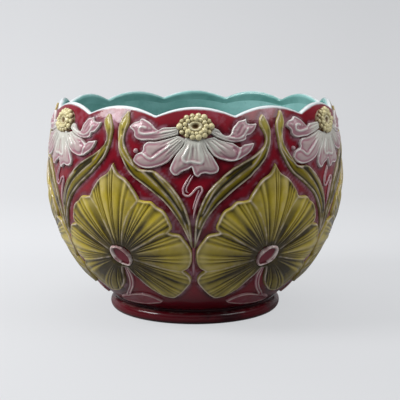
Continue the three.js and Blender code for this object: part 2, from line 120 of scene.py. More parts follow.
# The straps, edges from root to tip, and the lines raised on them.
LEFT_STRAP_EDGES = (
    [(-1.6, 90.5), (-2.3, 94), (-3.2, 101), (-4.4, 108.4), (-5.4, 114.2), (-6.6, 120), (-8, 125.8), (-9.3, 130.9),
     (-10.8, 136.1), (-12.7, 141.3), (-14.5, 145.1), (-16.5, 149.3), (-18.6, 153.5), (-20.7, 157.4), (-22.5, 160.6),
     (-24.3, 165.1), (-25.6, 169.6), (-26.8, 174.8), (-27.6, 178.7), (-28.6, 183.8), (-29.3, 189.6), (-29.5, 195.5),
     (-29.9, 205.8), (-29.8, 209.6), (-29.2, 214.8), (-28.1, 219.3), (-26.9, 224.6)],
    [(-1.4, 90.5), (-1.5, 94.5), (-1.75, 102), (-2.1, 112), (-2.3, 118.7), (-2.9, 123.8), (-3.4, 129), (-4.1, 134.2),
     (-5, 139.3), (-5.9, 143.8), (-6.9, 147.7), (-8, 151.9), (-9.3, 156.1), (-10.8, 160.3), (-12.4, 163.8),
     (-13.9, 167.1), (-15.6, 169.3), (-17.8, 169.6), (-20.6, 170.6), (-22.2, 174), (-23.3, 178.5), (-24.4, 182.5),
     (-25.6, 187.7), (-26.6, 193.5), (-26.5, 205), (-25.4, 213.5), (-26, 224)],
)
LEFT_STRAP_LINES = [
    [(-2.9, 106.4), (-3.4, 110.9), (-4.1, 116.7), (-5, 122.5), (-5.9, 127.7), (-7, 132.9), (-8.3, 138), (-9.8, 143.2),
     (-11.4, 148), (-12.9, 152.2), (-14.5, 156.1), (-16.5, 161.3), (-18.1, 165.1), (-20.1, 169)],
    [(-14.5, 165.8), (-12.9, 161.3), (-11.4, 156.7), (-9.8, 152.2), (-8.5, 147.7), (-7.5, 143.2), (-6.5, 138),
     (-5.7, 132.9)],
    [(-27.9, 200), (-28.4, 195.5), (-28.4, 191.6), (-27.9, 187.7), (-26.8, 183.2), (-25.6, 179.3), (-24, 175.5),
     (-22.2, 171.9)],
]
LEFT_STRAP_FOLDS = [
    [(-17.5, 166.5), (-15.4, 162.5), (-13.6, 158), (-12, 153.4), (-10.5, 148.6), (-9.1, 143.6), (-7.7, 138.2),
     (-6.3, 132.4), (-5.1, 126), (-4.2, 119)],
    [(-27.5, 206), (-27, 199), (-26.9, 191)],
]
RIGHT_STRAP_EDGES = (
    [(-1.3, 90.5), (-1.25, 94.5), (-1.1, 102), (-0.9, 112.9), (-0.7, 119.3), (-0.1, 125.8), (0.4, 130.3), (1, 134.8),
     (1.8, 140), (2.6, 144.5), (3.6, 149), (5, 153.5), (6.3, 157.4), (7.7, 160.6), (8.8, 163.8), (9.8, 166.1),
     (11.2, 168.7), (12.5, 171.3), (13.9, 173.5), (15.5, 175.8), (17.6, 178.7), (19.5, 181.3), (21.4, 184.5),
     (23, 187.7), (24.3, 190.9), (25, 194.2), (25.3, 197.4), (25.2, 200.6), (24.6, 204.5), (23.8, 208.4),
     (23.4, 212.2), (23.5, 216.1), (25, 221.6)],
    [(-1.1, 90.5), (-0.4, 94), (0.5, 101), (1.1, 106), (1.8, 111.6), (2.6, 116.7), (3.4, 121.3), (4.5, 125.8),
     (5.5, 129.6), (6.9, 134.2), (8.2, 138), (9.8, 141.9), (11.4, 145.8), (13.1, 149.6), (14.7, 152.9), (16.3, 156.1),
     (17.9, 159.3), (19.5, 162.5), (20.8, 166.4), (22.5, 170.3), (23.8, 174.2), (25.2, 178.7), (26.2, 183.8),
     (27, 189), (27.6, 194.2), (27.8, 199.3), (28, 204.5), (27.7, 209.6), (27, 214.8), (26, 220.4)],
)
RIGHT_STRAP_LINES = [
    [(25.4, 194), (23.8, 187), (21.4, 177.4), (19.5, 172.2), (17.9, 169.6), (15.5, 165.1), (13.6, 161.3),
     (11.7, 157.4), (10.1, 154.2), (8.5, 150.3), (6.9, 145.8), (5.5, 141.3), (4.5, 136.7), (3.4, 130.9),
     (2.3, 125.8), (1.2, 120.6), (0.7, 115.5)],
    [(9.8, 161.3), (8.2, 157.4), (6.9, 153.5), (5.5, 148.4), (4.5, 143.2), (3.4, 137.4), (2, 128.4)],
]
RIGHT_STRAP_FOLDS = [
    [(19, 174.5), (16.2, 169.4), (13.6, 164.6), (11.2, 159.6), (9.2, 155.4), (7.6, 151), (6, 145.6), (4.6, 140),
     (3.2, 133), (2, 126)],
    [(26.6, 205), (26.4, 198), (25.8, 190)],
]
STEM_EDGES = (
    [(-2, 94), (-2.05, 86), (-1.95, 79), (-2, 70), (-1.65, 61.5)],
    [(-0.7, 94), (-0.65, 86), (-0.75, 79), (-0.7, 70), (-1.05, 61.5)],
)
TENDRIL_LINES = [
    [(-2.2, 165.6), (-3.75, 158.5), (-4.9, 151.5), (-4.55, 146.6), (-3.05, 145.2), (-1.5, 148.6), (0, 153),
     (1.3, 154), (1.75, 151.1), (0.85, 145.6), (0, 139.6), (-0.8, 131.6), (-1.35, 123.6)],
    [(-1.3, 165), (-2.7, 158.5), (-3.7, 152.5), (-3.7, 149.4), (-3, 148.4)],
    [(0.7, 151.2), (0, 146), (-0.8, 139.6), (-1.5, 132.4)],
]

# Each petal: its outline from root to root, the middle line it swells from, and the lines on it.
PETALS = [
    {
        "outline": [(-6, 210.6), (-9.8, 210), (-12.7, 209.3), (-13.9, 207.3), (-15, 209), (-16, 211.6),
                    (-17.6, 214.8), (-18.6, 216.1), (-20.7, 217.6), (-21.7, 215.1), (-23.2, 214.2), (-24.3, 212.2),
                    (-25.2, 208.4), (-24.3, 207.1), (-23.2, 204.5), (-23.1, 201.3), (-22.2, 198.7), (-20.9, 197.2),
                    (-19.1, 196.8), (-17.6, 197.2), (-15.2, 197.2), (-13, 198.4), (-10.5, 200.1), (-6.6, 203)],
        "spine": [(-8, 206), (-12, 204.2), (-16, 204), (-20.4, 206)],
        "lines": [[(-14.5, 205.1), (-17, 203.5), (-19.6, 203.2), (-20.9, 204.5), (-20.9, 208), (-20.1, 209.6),
                   (-18.6, 209)]],
        "grooves": [[(-16.4, 206), (-18.8, 205.4)]],
    },
    {
        "outline": [(-6.8, 202.4), (-10.3, 199.4), (-12.8, 197.6), (-15.2, 196.3), (-17.4, 196.2), (-18.8, 194.2),
                    (-19.5, 190.9), (-19.4, 187.7), (-20.4, 185.8), (-21.7, 184.5), (-22.6, 181.3), (-23, 178),
                    (-21.7, 174.2), (-20.4, 172.2), (-18.6, 170.9), (-16.5, 170.9), (-14.2, 172.2), (-12.1, 174.2),
                    (-10.1, 177.4), (-7.9, 184), (-5.3, 192), (-3.6, 199)],
        "spine": [(-6.4, 198), (-10, 191.5), (-13.6, 185), (-17.4, 178.6)],
        "lines": [[(-20.4, 185.8), (-18.6, 183.8), (-17.3, 181), (-16.3, 180), (-13.9, 183.8), (-9.6, 192.9)]],
        "grooves": [[(-15.4, 183.6), (-13.4, 187.6), (-10.6, 193)]],
    },
    {
        "outline": [(-4.2, 200.4), (-4.9, 192.9), (-6.3, 188.4), (-7.6, 183.8), (-8.5, 178.7), (-9.3, 174.2),
                    (-9.6, 170.3), (-9, 167.1), (-7.8, 164.5), (-6.7, 164.8), (-5.4, 167.7), (-4.4, 169),
                    (-2.9, 170.5), (-2, 172.2), (-1.5, 169), (-0.9, 165.1), (0.4, 163.2), (1.5, 165.8), (2.8, 166.7),
                    (4.5, 165.8), (6.1, 166.4), (7.4, 168.4), (7.7, 171.6), (7.1, 175.5), (6.3, 179.3), (5.3, 183.8),
                    (3.9, 189), (2.6, 200.4)],
        "spine": [(-0.8, 197), (-0.9, 188), (-1.1, 180), (-1.4, 175)],
        "lines": [[(0.7, 194), (1, 187.7), (1.8, 182.5), (2, 178.7), (1.5, 176.7), (0.2, 176.7), (-2, 178),
                   (-4, 177.5), (-5, 180.5), (-4, 186), (-3, 191)]],
        "grooves": [[(-1.2, 190), (-1.3, 185), (-1.2, 180)]],
    },
    {
        "outline": [(6.2, 201.2), (7.6, 198.8), (9.6, 197), (11.4, 196), (12.8, 195), (14.1, 193), (15.5, 190.9),
                    (16.8, 193.2), (18.4, 193.8), (20.8, 194.2), (20.3, 190.3), (19.5, 187.1), (18.2, 183.8),
                    (16.5, 181.3), (15.2, 179.3), (13.1, 177.7), (11.4, 177.7), (9.6, 178.7), (7.3, 180.8),
                    (5.9, 183.2), (4.3, 188.6), (2.9, 194), (1.6, 198.6)],
        "spine": [(4.4, 197), (7.4, 191), (10.4, 186.4), (14.2, 185.6)],
        "lines": [[(15.5, 190.9), (15.2, 187.1), (14.4, 182.5), (13.6, 178)]],
        "grooves": [[(13.1, 189.6), (13.9, 187.1), (13.9, 182.5), (12.5, 180.6), (10.1, 181.9), (8.2, 185.8)]],
    },
    {
        "outline": [(4.5, 204.6), (6.7, 200.8), (8.7, 198.5), (10.5, 196.8), (13.1, 195.5), (15.5, 195.9),
                    (17.1, 197), (17.9, 198.6), (17.9, 200.6), (19.6, 202.4), (20.8, 205), (21.8, 208.4),
                    (22.3, 212.4), (20.3, 212.4), (18.5, 213.6), (18.4, 217.1), (16.8, 216.1), (15.5, 215.5),
                    (14.1, 212.2), (13.1, 209.6), (12.6, 207), (12.2, 203.8), (11.6, 202.4), (9.8, 202.6),
                    (8.8, 204.5), (7.9, 207.6), (6.3, 209.4)],
        "spine": [(6.2, 205.4), (8.2, 201.6), (12, 199.2), (15.4, 201.4), (17.6, 207)],
        "lines": [[(12, 200), (14.2, 198.6), (16.2, 200.4), (17.6, 204.4), (18.6, 208.4)]],
        "grooves": [[(14.6, 203), (15.4, 206), (16.4, 210.4)]],
    },
]
KNOB_AT = (-22.3, 187.2)
BOSS_AT = (-0.55, 210.5)
BOSS_HALF = (17.2, 11.9)  # millimetres, across and up
BOSS_DEGREE = 2.52  # millimetres that a degree of the panel measures at the boss


# ---------- sizes and colours ----------


def seen(red, green, blue):
    """A colour given as it looks on a screen, 0 to 255, as the linear values that shaders take."""
    return tuple(c / 12.92 if c <= 0.04045 else ((c + 0.055) / 1.055) ** 2.4 for c in
                 (red / 255, green / 255, blue / 255))


def length(label, default, about):
    return FloatProperty(name=label, description=about, default=default, min=0.0, subtype="DISTANCE", unit="LENGTH",
                         precision=4)


def colour(label, default, about):
    return FloatVectorProperty(name=label, description=about, default=default, size=3, min=0.0, max=1.0,
                               subtype="COLOR")


class PotShape(PropertyGroup):
    rim_radius: length("Rim Radius", 0.144, "Outside of the wall at the crest of a rim lobe")
    belly_radius: length("Belly Radius", 0.1572, "Widest part of the wall without the relief")
    belly_height: length("Belly Height", 0.150, "Height of the widest part")
    base_radius: length("Base Radius", 0.0885, "Outside of the wall where it meets the foot")
    wall: length("Wall", 0.0066, "Thickness of the cast wall")
    floor: length("Floor", 0.0085, "Thickness of the pot's floor")
    corner: length("Floor Corner", 0.009, "Radius between the wall and the floor, inside")
    lobe_depth: length("Lobe Depth", 0.0088, "From the crest of a rim lobe down to the notch beside it")
    rim_turn: FloatProperty(name="Rim Turn", description="How far the rim's lobes are turned against the relief",
                            subtype="ANGLE", unit="ROTATION", default=math.radians(0.55))
    belt_height: length("Belt Height", 0.198, "Height above which the wall follows the rim's scallops")
    lining: length("Lining", 0.001, "Thickness of the glaze inside")
    lobes: IntProperty(name="Rim Lobes", description="Lobes round the rim", default=12, min=3)
    columns: IntProperty(name="Columns", description="Faces round a turned piece", default=384, min=48)


class FootShape(PropertyGroup):
    radius: length("Radius", 0.0932, "Widest part of the roll")
    groove_radius: length("Groove Radius", 0.0868, "Bottom of the groove under the wall")
    groove_width: length("Groove Width", 0.0026, "Height of the groove")
    bore: length("Bore", 0.0755, "Inside radius of the ring")
    chamfer: length("Chamfer", 0.0012, "Chamfer at the bore's lower edge")


class ReliefShape(PropertyGroup):
    leaf_height: length("Leaf Height", 0.0026, "How far a leaf's rim stands out of the wall")
    leaf_crown: length("Leaf Crown", 0.0012, "Extra height of the middle of a leaf's lobe")
    flute_depth: length("Flute Depth", 0.0005, "Half height of a leaf's flutes")
    flutes: IntProperty(name="Flutes", description="Flutes round a leaf's eye", default=61, min=8)
    strap_height: length("Strap Height", 0.0023, "How far a strap leaf's edges stand out")
    petal_height: length("Petal Height", 0.0028, "How far a petal's edges stand out")
    boss_height: length("Boss Height", 0.0052, "How far the flower's boss stands out under its beads")
    bead_radius: length("Bead Radius", 0.0029, "Radius of a bead round the boss")
    beads: IntProperty(name="Beads", description="Beads round a flower's boss", default=13, min=5)
    trail_radius: length("Trail Radius", 0.001, "Radius of the trailed lines of a tendril")


class GlazeColours(PropertyGroup):
    ground_thin: colour("Ground, Thin", seen(140, 20, 38), "Burgundy glaze where it lies thin")
    # The deep ground colour also paints shade low on the wall and over the foot.
    ground_deep: colour("Ground, Deep", seen(52, 5, 14), "Burgundy glaze where it pools")
    leaf_thin: colour("Leaf, Thin", seen(186, 166, 48), "Olive glaze on crests")
    leaf_deep: colour("Leaf, Deep", seen(54, 44, 14), "Olive glaze in hollows")
    strap_thin: colour("Strap, Thin", seen(164, 146, 36), "Strap leaves' glaze on crests")
    strap_deep: colour("Strap, Deep", seen(44, 36, 8), "Strap leaves' glaze in hollows")
    petal_thin: colour("Petal, Thin", seen(204, 204, 194), "Greenish white petal glaze")
    petal_flush: colour("Petal, Flushed", seen(167, 119, 131), "Mauve flush at the petals' ends")
    boss_thin: colour("Boss, Thin", seen(214, 204, 158), "Cream glaze on the boss's beads")
    boss_deep: colour("Boss, Deep", seen(96, 56, 14), "Brown glaze in the boss's hollows")
    eye_pool: colour("Eye Pool", seen(124, 38, 54), "Burgundy pool in the leaf's eye")
    stem_thin: colour("Stem, Thin", seen(178, 132, 148), "Lilac glaze of stems and stalks")
    stem_deep: colour("Stem, Deep", seen(122, 18, 34), "Stem glaze in hollows")
    lining_thin: colour("Lining", seen(150, 196, 194), "Turquoise glaze inside")
    lining_deep: colour("Lining, Deep", seen(92, 146, 140), "Turquoise glaze where it pools")
    # The raised edges' colour also paints the foot's highlights.
    lip: colour("Raised Edges", seen(214, 200, 188), "Pale glaze broken over raised edges")
    clay: colour("Clay", seen(196, 172, 140), "Unglazed clay under the foot")


class StageSetup(PropertyGroup):
    camera_distance: length("Camera Distance", 1.184, "From the pot's axis to the camera, level")
    camera_height: length("Camera Height", 0.304, "Height of the camera")
    camera_turn: FloatProperty(name="Camera Turn", description="Camera's angle round the pot", subtype="ANGLE",
                               unit="ROTATION", default=math.radians(0.1))
    camera_pitch: FloatProperty(name="Camera Pitch", description="How far the camera looks down", subtype="ANGLE",
                                unit="ROTATION", default=math.radians(9.0))
    lens: FloatProperty(name="Lens", description="Focal length on a 36 mm sensor", subtype="DISTANCE_CAMERA",
                        default=98.1)
    top_power: FloatProperty(name="Overhead Lamp", description="Power of the overhead lamp", subtype="POWER",
                             unit="POWER", default=5.5)
    left_power: FloatProperty(name="Left Lamp", description="Power of the lamp on the left", subtype="POWER",
                              unit="POWER", default=27.0)
    right_power: FloatProperty(name="Right Lamp", description="Power of the lamp on the right", subtype="POWER",
                               unit="POWER", default=10.0)
    ceiling: FloatProperty(name="Ceiling", description="Brightness of the room overhead", default=0.6, min=0.0)
    walls: FloatProperty(name="Walls", description="Brightness of the room at eye level", default=0.06, min=0.0)


# ---------- the wall and flat drawing ----------


def bezier(points, count):
    a, b, c, d = (np.array(p, float) for p in points)
    t = np.linspace(0, 1, count)[:, None]
    return (1 - t) ** 3 * a + 3 * t * (1 - t) ** 2 * b + 3 * t * t * (1 - t) * c + t**3 * d


class Wall:
    """The pot's outside, in millimetres: where a point of the panel lies, and how far out of the wall."""

    def __init__(self, pot):
        self.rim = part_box("bowl_body")[1].z / MM
        self.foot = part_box("foot_ring")[1].z / MM
        self.seat = self.foot + SEAM
        base, belly, top = pot.base_radius / MM, pot.belly_radius / MM, pot.rim_radius / MM
        middle = pot.belly_height / MM
        lower = bezier([(base, self.seat), (base + 5.5, self.seat + 5.6), (belly, middle - 88), (belly, middle)], 300)
        upper = bezier([(belly, middle), (belly, middle + 15.5), (top + 11, self.rim - 21.4), (top, self.rim)], 200)
        self.line = np.vstack((lower, upper[1:]))
        run = np.gradient(self.line, axis=0)
        run /= np.linalg.norm(run, axis=1)[:, None]
        self.normal = np.stack((run[:, 1], -run[:, 0]), axis=1)

    def section(self, height, raised=0.0):
        """Radius and height of a point raised out of the wall at a height."""
        radius, out, up = (np.interp(height, self.line[:, 1], column) for column in
                           (self.line[:, 0], self.normal[:, 0], self.normal[:, 1]))
        return radius + raised * out, height + raised * up

    def spots(self, flat, raised=0.0):
        """Points of the panel in space, in millimetres."""
        turn = np.radians(flat[..., 0])
        radius, height = self.section(flat[..., 1], raised)
        return np.stack((radius * np.sin(turn), -radius * np.cos(turn), height), axis=-1)


def smooth(points, step=1.2, count=None):
    """Evenly spaced panel points on a smooth line through the given ones."""
    p = np.array(points, float)
    gap = np.linalg.norm(np.diff(p, axis=0) * CELL, axis=1)
    along = np.concatenate(([0], np.cumsum(gap)))
    slope = np.diff(p, axis=0) / gap[:, None]
    share = (gap[1:] / (gap[:-1] + gap[1:]))[:, None]
    lean = np.vstack((slope[:1], slope[:-1] * share + slope[1:] * (1 - share), slope[-1:]))
    s = np.linspace(0, along[-1], count or max(3, round(along[-1] / step)))
    i = np.clip(np.searchsorted(along, s, side="right") - 1, 0, len(gap) - 1)
    h, t = gap[i][:, None], ((s - along[i]) / gap[i])[:, None]
    return ((2 * t**3 - 3 * t**2 + 1) * p[i] + (t**3 - 2 * t**2 + t) * h * lean[i]
            + (3 * t**2 - 2 * t**3) * p[i + 1] + (t**3 - t**2) * h * lean[i + 1])


def plant(points):
    """Points of the flower, its straps or its stem, set about the flower's axis."""
    return np.array(points, float) + (PLANT_OFF_AXIS, 0)


def leaf_outline():
    """The whole leaf from its slit, up its right side, over the tip and down its left side."""
    sides = []
    for stretches in (LEAF_STRETCHES, [*LEAF_STRETCHES[:-1], LEAF_STALK_SIDE]):
        half = np.vstack([smooth(s, 1.15)[:-1] for s in stretches] + [np.array([stretches[-1][-1]])])
        half[:, 0] *= 1 + 0.025 * ease((half[:, 0] - 9) / 8)
        sides.append(half)
    return np.vstack((sides[0][::-1], (sides[1] * (-1, 1))[1:]))


def nearest(spots, line, closed=False):
    """Distance from each spot to a line in space."""
    ends = np.roll(line, -1, axis=0) if closed else line[1:]
    starts = line if closed else line[:-1]
    found = np.full(spots.shape[:-1], np.inf)
    for a, b in zip(starts, ends):
        run = b - a
        size = max(run @ run, 1e-12)
        share = np.clip((spots - a) @ run / size, 0, 1)
        gone = spots - a - share[..., None] * run
        found = np.minimum(found, (gone * gone).sum(-1))
    return np.sqrt(found)


def bump(distance, width):
    return np.exp(-((distance / width) ** 2))


def ease(x):
    x = np.clip(x, 0, 1)
    return x * x * (3 - 2 * x)


def on_spine(outline, spine):
    """For each point of a closed outline, the point of the spine that it swells from."""
    fine = smooth(spine, count=120)
    gaps = ((outline[:, None] - fine[None]) * CELL) ** 2
    at = gaps.sum(-1).argmin(1).astype(float)
    window = np.hanning(11) / np.hanning(11).sum()
    at = np.convolve(np.concatenate((at[-5:], at, at[:5])), window, "valid")
    return np.stack([np.interp(at, np.arange(120), fine[:, k]) for k in (0, 1)], axis=1)


class Relief:
    """A relief piece on the panel: rings of points from its spine to its outline, its heights and its tints."""

    def __init__(self, wall, outline, inner, rings=26, gather=1.8):
        self.wall = wall
        share = 1 - (1 - np.linspace(0, 1, rings)) ** gather
        self.share = share[None, :] * np.ones((len(outline), 1))
        self.flat = inner[:, None] * (1 - share[:, None]) + outline[:, None] * share[:, None]
        self.spots = wall.spots(self.flat)
        self.edge = nearest(self.spots, wall.spots(outline), closed=True)
        self.edge[:, -1] = 0
        self.rise = np.zeros(self.edge.shape)
        self.tints = {}

    def to(self, line):
        """Distance from each point to a line drawn on the panel."""
        return nearest(self.spots, self.wall.spots(smooth(line, 2.0)))

    def shoulder(self, width, height):
        t = np.clip(self.edge / width, 0, 1)
        return -SINK + (SINK + height) * np.sqrt(np.clip(1 - (1 - t) ** 2, 0, 1))

    def tint(self, **tints):
        for name, value in tints.items():
            self.tints[name] = np.clip(value, 0, 1) * np.ones(self.rise.shape)


def mesh_from(name, relief, axis, hand=1):
    """A closed body from a relief: its face, and a plain back inside the wall that shares its outline."""
    around, rings = relief.rise.shape
    turned = relief.flat * (hand, 1) + (axis, 0)
    face = relief.wall.spots(turned, relief.rise).reshape(-1, 3)
    back_share = (0.0, 0.6)
    spine, outline = turned[:, 0], turned[:, -1]
    backs = [relief.wall.spots(spine * (1 - s) + outline * s, -BACK) for s in back_share]
    points = np.vstack([face, *backs]) * MM
    u = np.arange(around)
    ahead = (u + 1) % around
    faces = []
    for r in range(rings - 1):
        faces.append(np.stack((u * rings + r, ahead * rings + r, ahead * rings + r + 1, u * rings + r + 1), axis=1))
    middle = around * rings
    back = middle + around
    last = rings - 1
    faces.append(np.stack((middle + ahead, middle + u, back + u, back + ahead), axis=1))
    faces.append(np.stack((back + ahead, back + u, u * rings + last, ahead * rings + last), axis=1))
    mesh = bpy.data.meshes.new(name)
    mesh.from_pydata(points, [], np.vstack(faces))
    plain = np.zeros(2 * around)
    stain(mesh, **{tint: np.concatenate((value.ravel(), plain)) for tint, value in relief.tints.items()})
    return mesh


def stain(mesh, **tints):
    """Stores values from 0 to 1 on the mesh's points, for the glazes to read."""
    for name, value in tints.items():
        full = np.clip(value, 0, 1) * np.ones(len(mesh.vertices))
        mesh.attributes.new(name, "FLOAT", "POINT").data.foreach_set("value", full.astype(np.float32))


def points_of(mesh):
    """The mesh's points in millimetres."""
    co = np.empty(len(mesh.vertices) * 3, np.float32)
    mesh.vertices.foreach_get("co", co)
    return co.reshape(-1, 3).astype(float) / MM


def close_up(mesh):
    """Joins the points that coincide and turns the faces outwards."""
    bm = bmesh.new()
    bm.from_mesh(mesh)
    bmesh.ops.remove_doubles(bm, verts=bm.verts, dist=2e-6)
    bmesh.ops.dissolve_degenerate(bm, edges=bm.edges, dist=1e-7)
    if bm.calc_volume(signed=True) < 0:
        bmesh.ops.reverse_faces(bm, faces=bm.faces)
    bm.to_mesh(mesh)
    bm.free()
    mesh.shade_smooth()


def piece(name, mesh, material, slot, *nodes):
    """The finished piece as an object that rides on the pot and stands for its CAD nodes."""
    mesh.name = name
    if material.name not in mesh.materials:
        mesh.materials.append(material)
    obj = bpy.data.objects.new(name, mesh)
    bpy.context.collection.objects.link(obj)
    return settle(obj, slot, *nodes)


def settle(obj, slot, *nodes):
    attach(obj, "root")
    if nodes:
        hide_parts(*nodes)
    return obj


def joined(name, meshes):
    """Several closed bodies as one mesh."""
    bm = bmesh.new()
    for mesh in meshes:
        bm.from_mesh(mesh)
        bpy.data.meshes.remove(mesh)
    whole = bpy.data.meshes.new(name)
    bm.to_mesh(whole)
    bm.free()
    whole.shade_smooth()
    return whole


def moulded(name, forms, axis, hand, material, slot, node):
    """One sector's copy of a relief piece, made of one closed body or of several, and set on the pot."""
    parts = [mesh_from(f"{name}_part", form, axis, hand) for form in forms]
    for part in parts:
        close_up(part)
    return piece(name, joined(name, parts) if len(parts) > 1 else parts[0], material, slot, node)


def flower_axis(k):
    return (k - 1) * 360 / SECTORS


def leaf_axis(k):
    return flower_axis(k) + 180 / SECTORS


def leaf_hand(k):
    """1 where the leaf is the one drawn, on a flower's left, and -1 where it is that one mirrored."""
    return -1 if k % 2 else 1


# ---------- node trees ----------


class Wiring:
    """A node tree under construction."""

    def __init__(self, tree):
        self.tree, self.nodes, self.links = tree, tree.nodes, tree.links

    def feed(self, socket, value):
        if isinstance(value, bpy.types.NodeSocket):
            self.links.new(value, socket)
        else:
            socket.default_value = value

    def node(self, kind, inputs=None, **settings):
        made = self.nodes.new(kind)
        for key, value in settings.items():
            setattr(made, key, value)
        for key, value in (inputs or {}).items():
            self.feed(made.inputs[key], value)
        return made

    def calc(self, operation, *values, clamp=False):
        made = self.node("ShaderNodeMath", operation=operation, use_clamp=clamp)
        for socket, value in zip(made.inputs, values):
            self.feed(socket, value)
        return made.outputs[0]


class Tree(Wiring):
    """A geometry node tree with named inputs that works on the mesh that carries it."""

    def __init__(self, name, inputs):
        super().__init__(bpy.data.node_groups.new(name, "GeometryNodeTree"))
        face = self.tree.interface
        face.new_socket("Geometry", in_out="INPUT", socket_type="NodeSocketGeometry")
        for label, kind, default in inputs:
            socket = face.new_socket(label, in_out="INPUT", socket_type="NodeSocket" + kind)
            if default is not None:
                socket.default_value = default
        face.new_socket("Geometry", in_out="OUTPUT", socket_type="NodeSocketGeometry")
        self.given = self.node("NodeGroupInput").outputs
        self.result = self.node("NodeGroupOutput")

    def finish(self, geometry):
        """Ends the tree as every tree here ends: smooth, real geometry with its material."""
        shaded = self.node("GeometryNodeSetShadeSmooth", {"Geometry": geometry})
        real = self.node("GeometryNodeRealizeInstances", {"Geometry": shaded.outputs[0]})
        painted = self.node("GeometryNodeSetMaterial", {"Geometry": real.outputs[0],
                                                        "Material": self.given["Material"]})
        self.feed(self.result.inputs[0], painted.outputs[0])
        return self.tree


def turned_form_tree():
    """Turns an outline of radius and height round the pot's axis and lets its top follow the rim's lobes."""
    t = Tree("turned_form", [("Columns", "Int", 384), ("Lobes", "Int", 12), ("Lobe Depth", "Float", 0.0),
                             ("Rim Turn", "Float", 0.0), ("Belt Height", "Float", 0.2), ("Rim Height", "Float", 0.23),
                             ("Rim Lean", "Float", 0.45), ("Material", "Material", None)])
    outline = t.given["Geometry"]
    rows = t.node("GeometryNodeAttributeDomainSize", {"Geometry": outline}).outputs["Point Count"]
    grid = t.node("GeometryNodeMeshGrid", {"Size X": 1.0, "Size Y": 1.0, "Vertices Y": rows,
                                           "Vertices X": t.calc("ADD", t.given["Columns"], 1.0)})
    spot = t.node("ShaderNodeSeparateXYZ", {"Vector": t.node("GeometryNodeInputPosition").outputs[0]}).outputs
    row = t.calc("ROUND", t.calc("MULTIPLY", t.calc("ADD", spot[1], 0.5), t.calc("SUBTRACT", rows, 1.0)))
    turn = t.calc("MULTIPLY", t.calc("ADD", spot[0], 0.5), 2 * math.pi)
    sample = t.node("GeometryNodeSampleIndex", data_type="FLOAT_VECTOR", domain="POINT", clamp=True)
    t.feed(sample.inputs["Geometry"], outline)
    t.feed(sample.inputs["Value"], t.node("GeometryNodeInputPosition").outputs[0])
    t.feed(sample.inputs["Index"], row)
    point = t.node("ShaderNodeSeparateXYZ", {"Vector": sample.outputs[0]}).outputs
    lobe = t.calc("DIVIDE", t.calc("SUBTRACT", turn, t.given["Rim Turn"]),
                  t.calc("DIVIDE", 2 * math.pi, t.given["Lobes"]))
    off_crest = t.calc("MULTIPLY", t.calc("ABSOLUTE", t.calc("SUBTRACT", lobe, t.calc("ROUND", lobe))), 2.0)
    drop = t.calc("MULTIPLY", t.calc("POWER", off_crest, 2.0), t.given["Lobe Depth"])
    climb = t.calc("DIVIDE", t.calc("SUBTRACT", point[2], t.given["Belt Height"]),
                   t.calc("SUBTRACT", t.given["Rim Height"], t.given["Belt Height"]))
    weight = t.calc("POWER", t.calc("MINIMUM", t.calc("MAXIMUM", climb, 0.0), 1.0), 1.25)
    fall = t.calc("MULTIPLY", drop, weight)
    height = t.calc("SUBTRACT", point[2], fall)
    radius = t.calc("ADD", point[0], t.calc("MULTIPLY", fall, t.given["Rim Lean"]))
    placed = t.node("ShaderNodeCombineXYZ", {"X": t.calc("MULTIPLY", radius, t.calc("SINE", turn)),
                                             "Y": t.calc("MULTIPLY", t.calc("MULTIPLY", radius, -1.0),
                                                         t.calc("COSINE", turn)),
                                             "Z": height})
    kept = t.node("GeometryNodeStoreNamedAttribute", {"Geometry": grid.outputs["Mesh"], "Name": "row"},
                  data_type="FLOAT", domain="POINT")
    t.feed(kept.inputs["Value"], row)
    moved = t.node("GeometryNodeSetPosition", {"Geometry": kept.outputs[0], "Position": placed.outputs[0]})
    merged = t.node("GeometryNodeMergeByDistance", {"Geometry": moved.outputs[0], "Distance": 1e-6})
    return t.finish(merged.outputs[0])


def slip_trail_tree():
    """Lays a round trail of slip along a line; the line's point attribute "width" scales it."""
    t = Tree("slip_trail", [("Radius", "Float", 0.001), ("Sides", "Int", 12), ("Step", "Float", 0.0009),
                            ("Material", "Material", None)])
    curve = t.node("GeometryNodeMeshToCurve", {"Mesh": t.given["Geometry"]})
    even = t.node("GeometryNodeResampleCurve", {"Curve": curve.outputs[0], "Length": t.given["Step"]}, mode="LENGTH")
    width = t.node("GeometryNodeInputNamedAttribute", {"Name": "width"}, data_type="FLOAT")
    ring = t.node("GeometryNodeCurvePrimitiveCircle", {"Resolution": t.given["Sides"], "Radius": t.given["Radius"]},
                  mode="RADIUS")
    tube = t.node("GeometryNodeCurveToMesh", {"Curve": even.outputs[0], "Profile Curve": ring.outputs["Curve"],
                                              "Scale": width.outputs["Attribute"], "Fill Caps": True})
    return t.finish(tube.outputs[0])


def bead_ring_tree():
    """Sets beads evenly on a closed line, each a little different in size."""
    t = Tree("bead_ring", [("Beads", "Int", 12), ("Radius", "Float", 0.003), ("Spread", "Float", 0.12),
                           ("Seed", "Int", 1), ("Material", "Material", None)])
    curve = t.node("GeometryNodeMeshToCurve", {"Mesh": t.given["Geometry"]})
    even = t.node("GeometryNodeResampleCurve", {"Curve": curve.outputs[0], "Count": t.given["Beads"]}, mode="COUNT")
    bead = t.node("GeometryNodeMeshUVSphere", {"Segments": 18, "Rings": 11, "Radius": t.given["Radius"]})
    size = t.node("FunctionNodeRandomValue", data_type="FLOAT")
    t.feed(size.inputs[2], t.calc("SUBTRACT", 1.0, t.given["Spread"]))
    t.feed(size.inputs[3], t.calc("ADD", 1.0, t.given["Spread"]))
    t.feed(size.inputs["Seed"], t.given["Seed"])
    beads = t.node("GeometryNodeInstanceOnPoints", {"Points": even.outputs[0], "Instance": bead.outputs["Mesh"],
                                                    "Scale": size.outputs[1]})
    return t.finish(beads.outputs[0])


